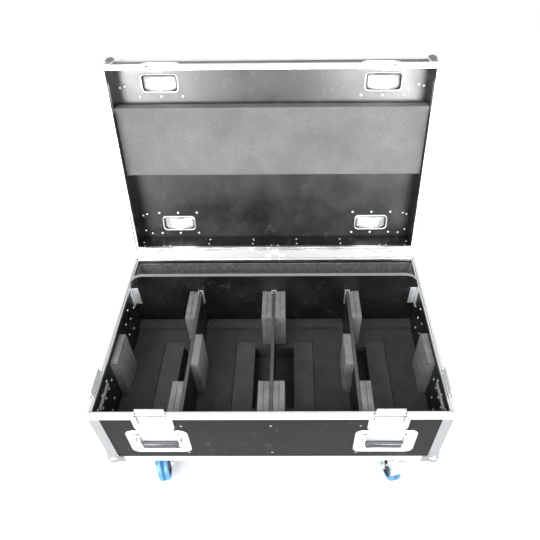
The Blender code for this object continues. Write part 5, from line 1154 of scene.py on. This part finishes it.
world = bpy.data.worlds.new("studioSky")
bpy.context.scene.world = world
world.use_nodes = True
sky = world.node_tree.nodes["Background"]
level = node(world.node_tree, "MapRange", Value=seenRays(world.node_tree), To_Min=studio["sky"],
             To_Max=studio["skySeen"])
world.node_tree.links.new(level.outputs[0], sky.inputs["Strength"])
sky.inputs["Color"].default_value = (1, 1, 1, 1)


def softLamp(name, place, target, size, power):
    lamp = bpy.data.lights.new(name, "AREA")
    lamp.shape = "RECTANGLE"
    lamp.size, lamp.size_y = size
    lamp.energy = power
    holder = bpy.data.objects.new(name, lamp)
    bpy.context.scene.collection.objects.link(holder)
    holder.location = place
    holder.rotation_euler = (Vector(target) - Vector(place)).to_track_quat("-Z", "Y").to_euler()
    return holder


for name, lamp in lamps.items():
    softLamp(name, lamp["place"], lamp["target"], lamp["size"], lamp["power"])
for name, x in glowPlaces.items():
    target = (x * glow["targetShare"], glow["targetY"], glow["targetZ"])
    holder = softLamp(name, (x, glow["y"], glow["z"]), target, glow["size"], glow["power"])
    holder.visible_diffuse = False

# the photograph's lens and stand, fitted to the rim, the front panel and the lid
view = {"focalPixels": 494.89, "centre": (286.40, 270.92), "pitch": 0.779581, "yaw": 0.011861,
        "roll": -0.012834, "place": (0.05456, -0.64585, 1.16512), "imagePixels": 540, "sensor": 36.0,
        "nearest": 0.05}
cameraData = bpy.data.cameras.new("photoLens")
camera = bpy.data.objects.new("photoLens", cameraData)
bpy.context.scene.collection.objects.link(camera)
bpy.context.scene.camera = camera
cameraData.sensor_width = view["sensor"]
cameraData.lens = view["focalPixels"] / view["imagePixels"] * view["sensor"]
cameraData.shift_x = (view["imagePixels"] / 2 - view["centre"][0]) / view["imagePixels"]
cameraData.shift_y = (view["centre"][1] - view["imagePixels"] / 2) / view["imagePixels"]
cameraData.clip_start = view["nearest"]
turns = [view[angle] for angle in ("pitch", "yaw", "roll")]
cp, cy, cr = [math.cos(angle) for angle in turns]
sp, sy, sr = [math.sin(angle) for angle in turns]
ahead = Vector((-sy * cp, cy * cp, -sp))
toRight = Vector((cy * cr - sy * sr * sp, sy * cr + cy * sr * sp, sr * cp))
upward = toRight.cross(ahead)
stand = interior @ Vector(view["place"])
camera.matrix_world = Matrix([(toRight[i], upward[i], -ahead[i], stand[i])
                              for i in range(3)] + [(0, 0, 0, 1)])
bpy.context.scene.view_settings.view_transform = "Standard"
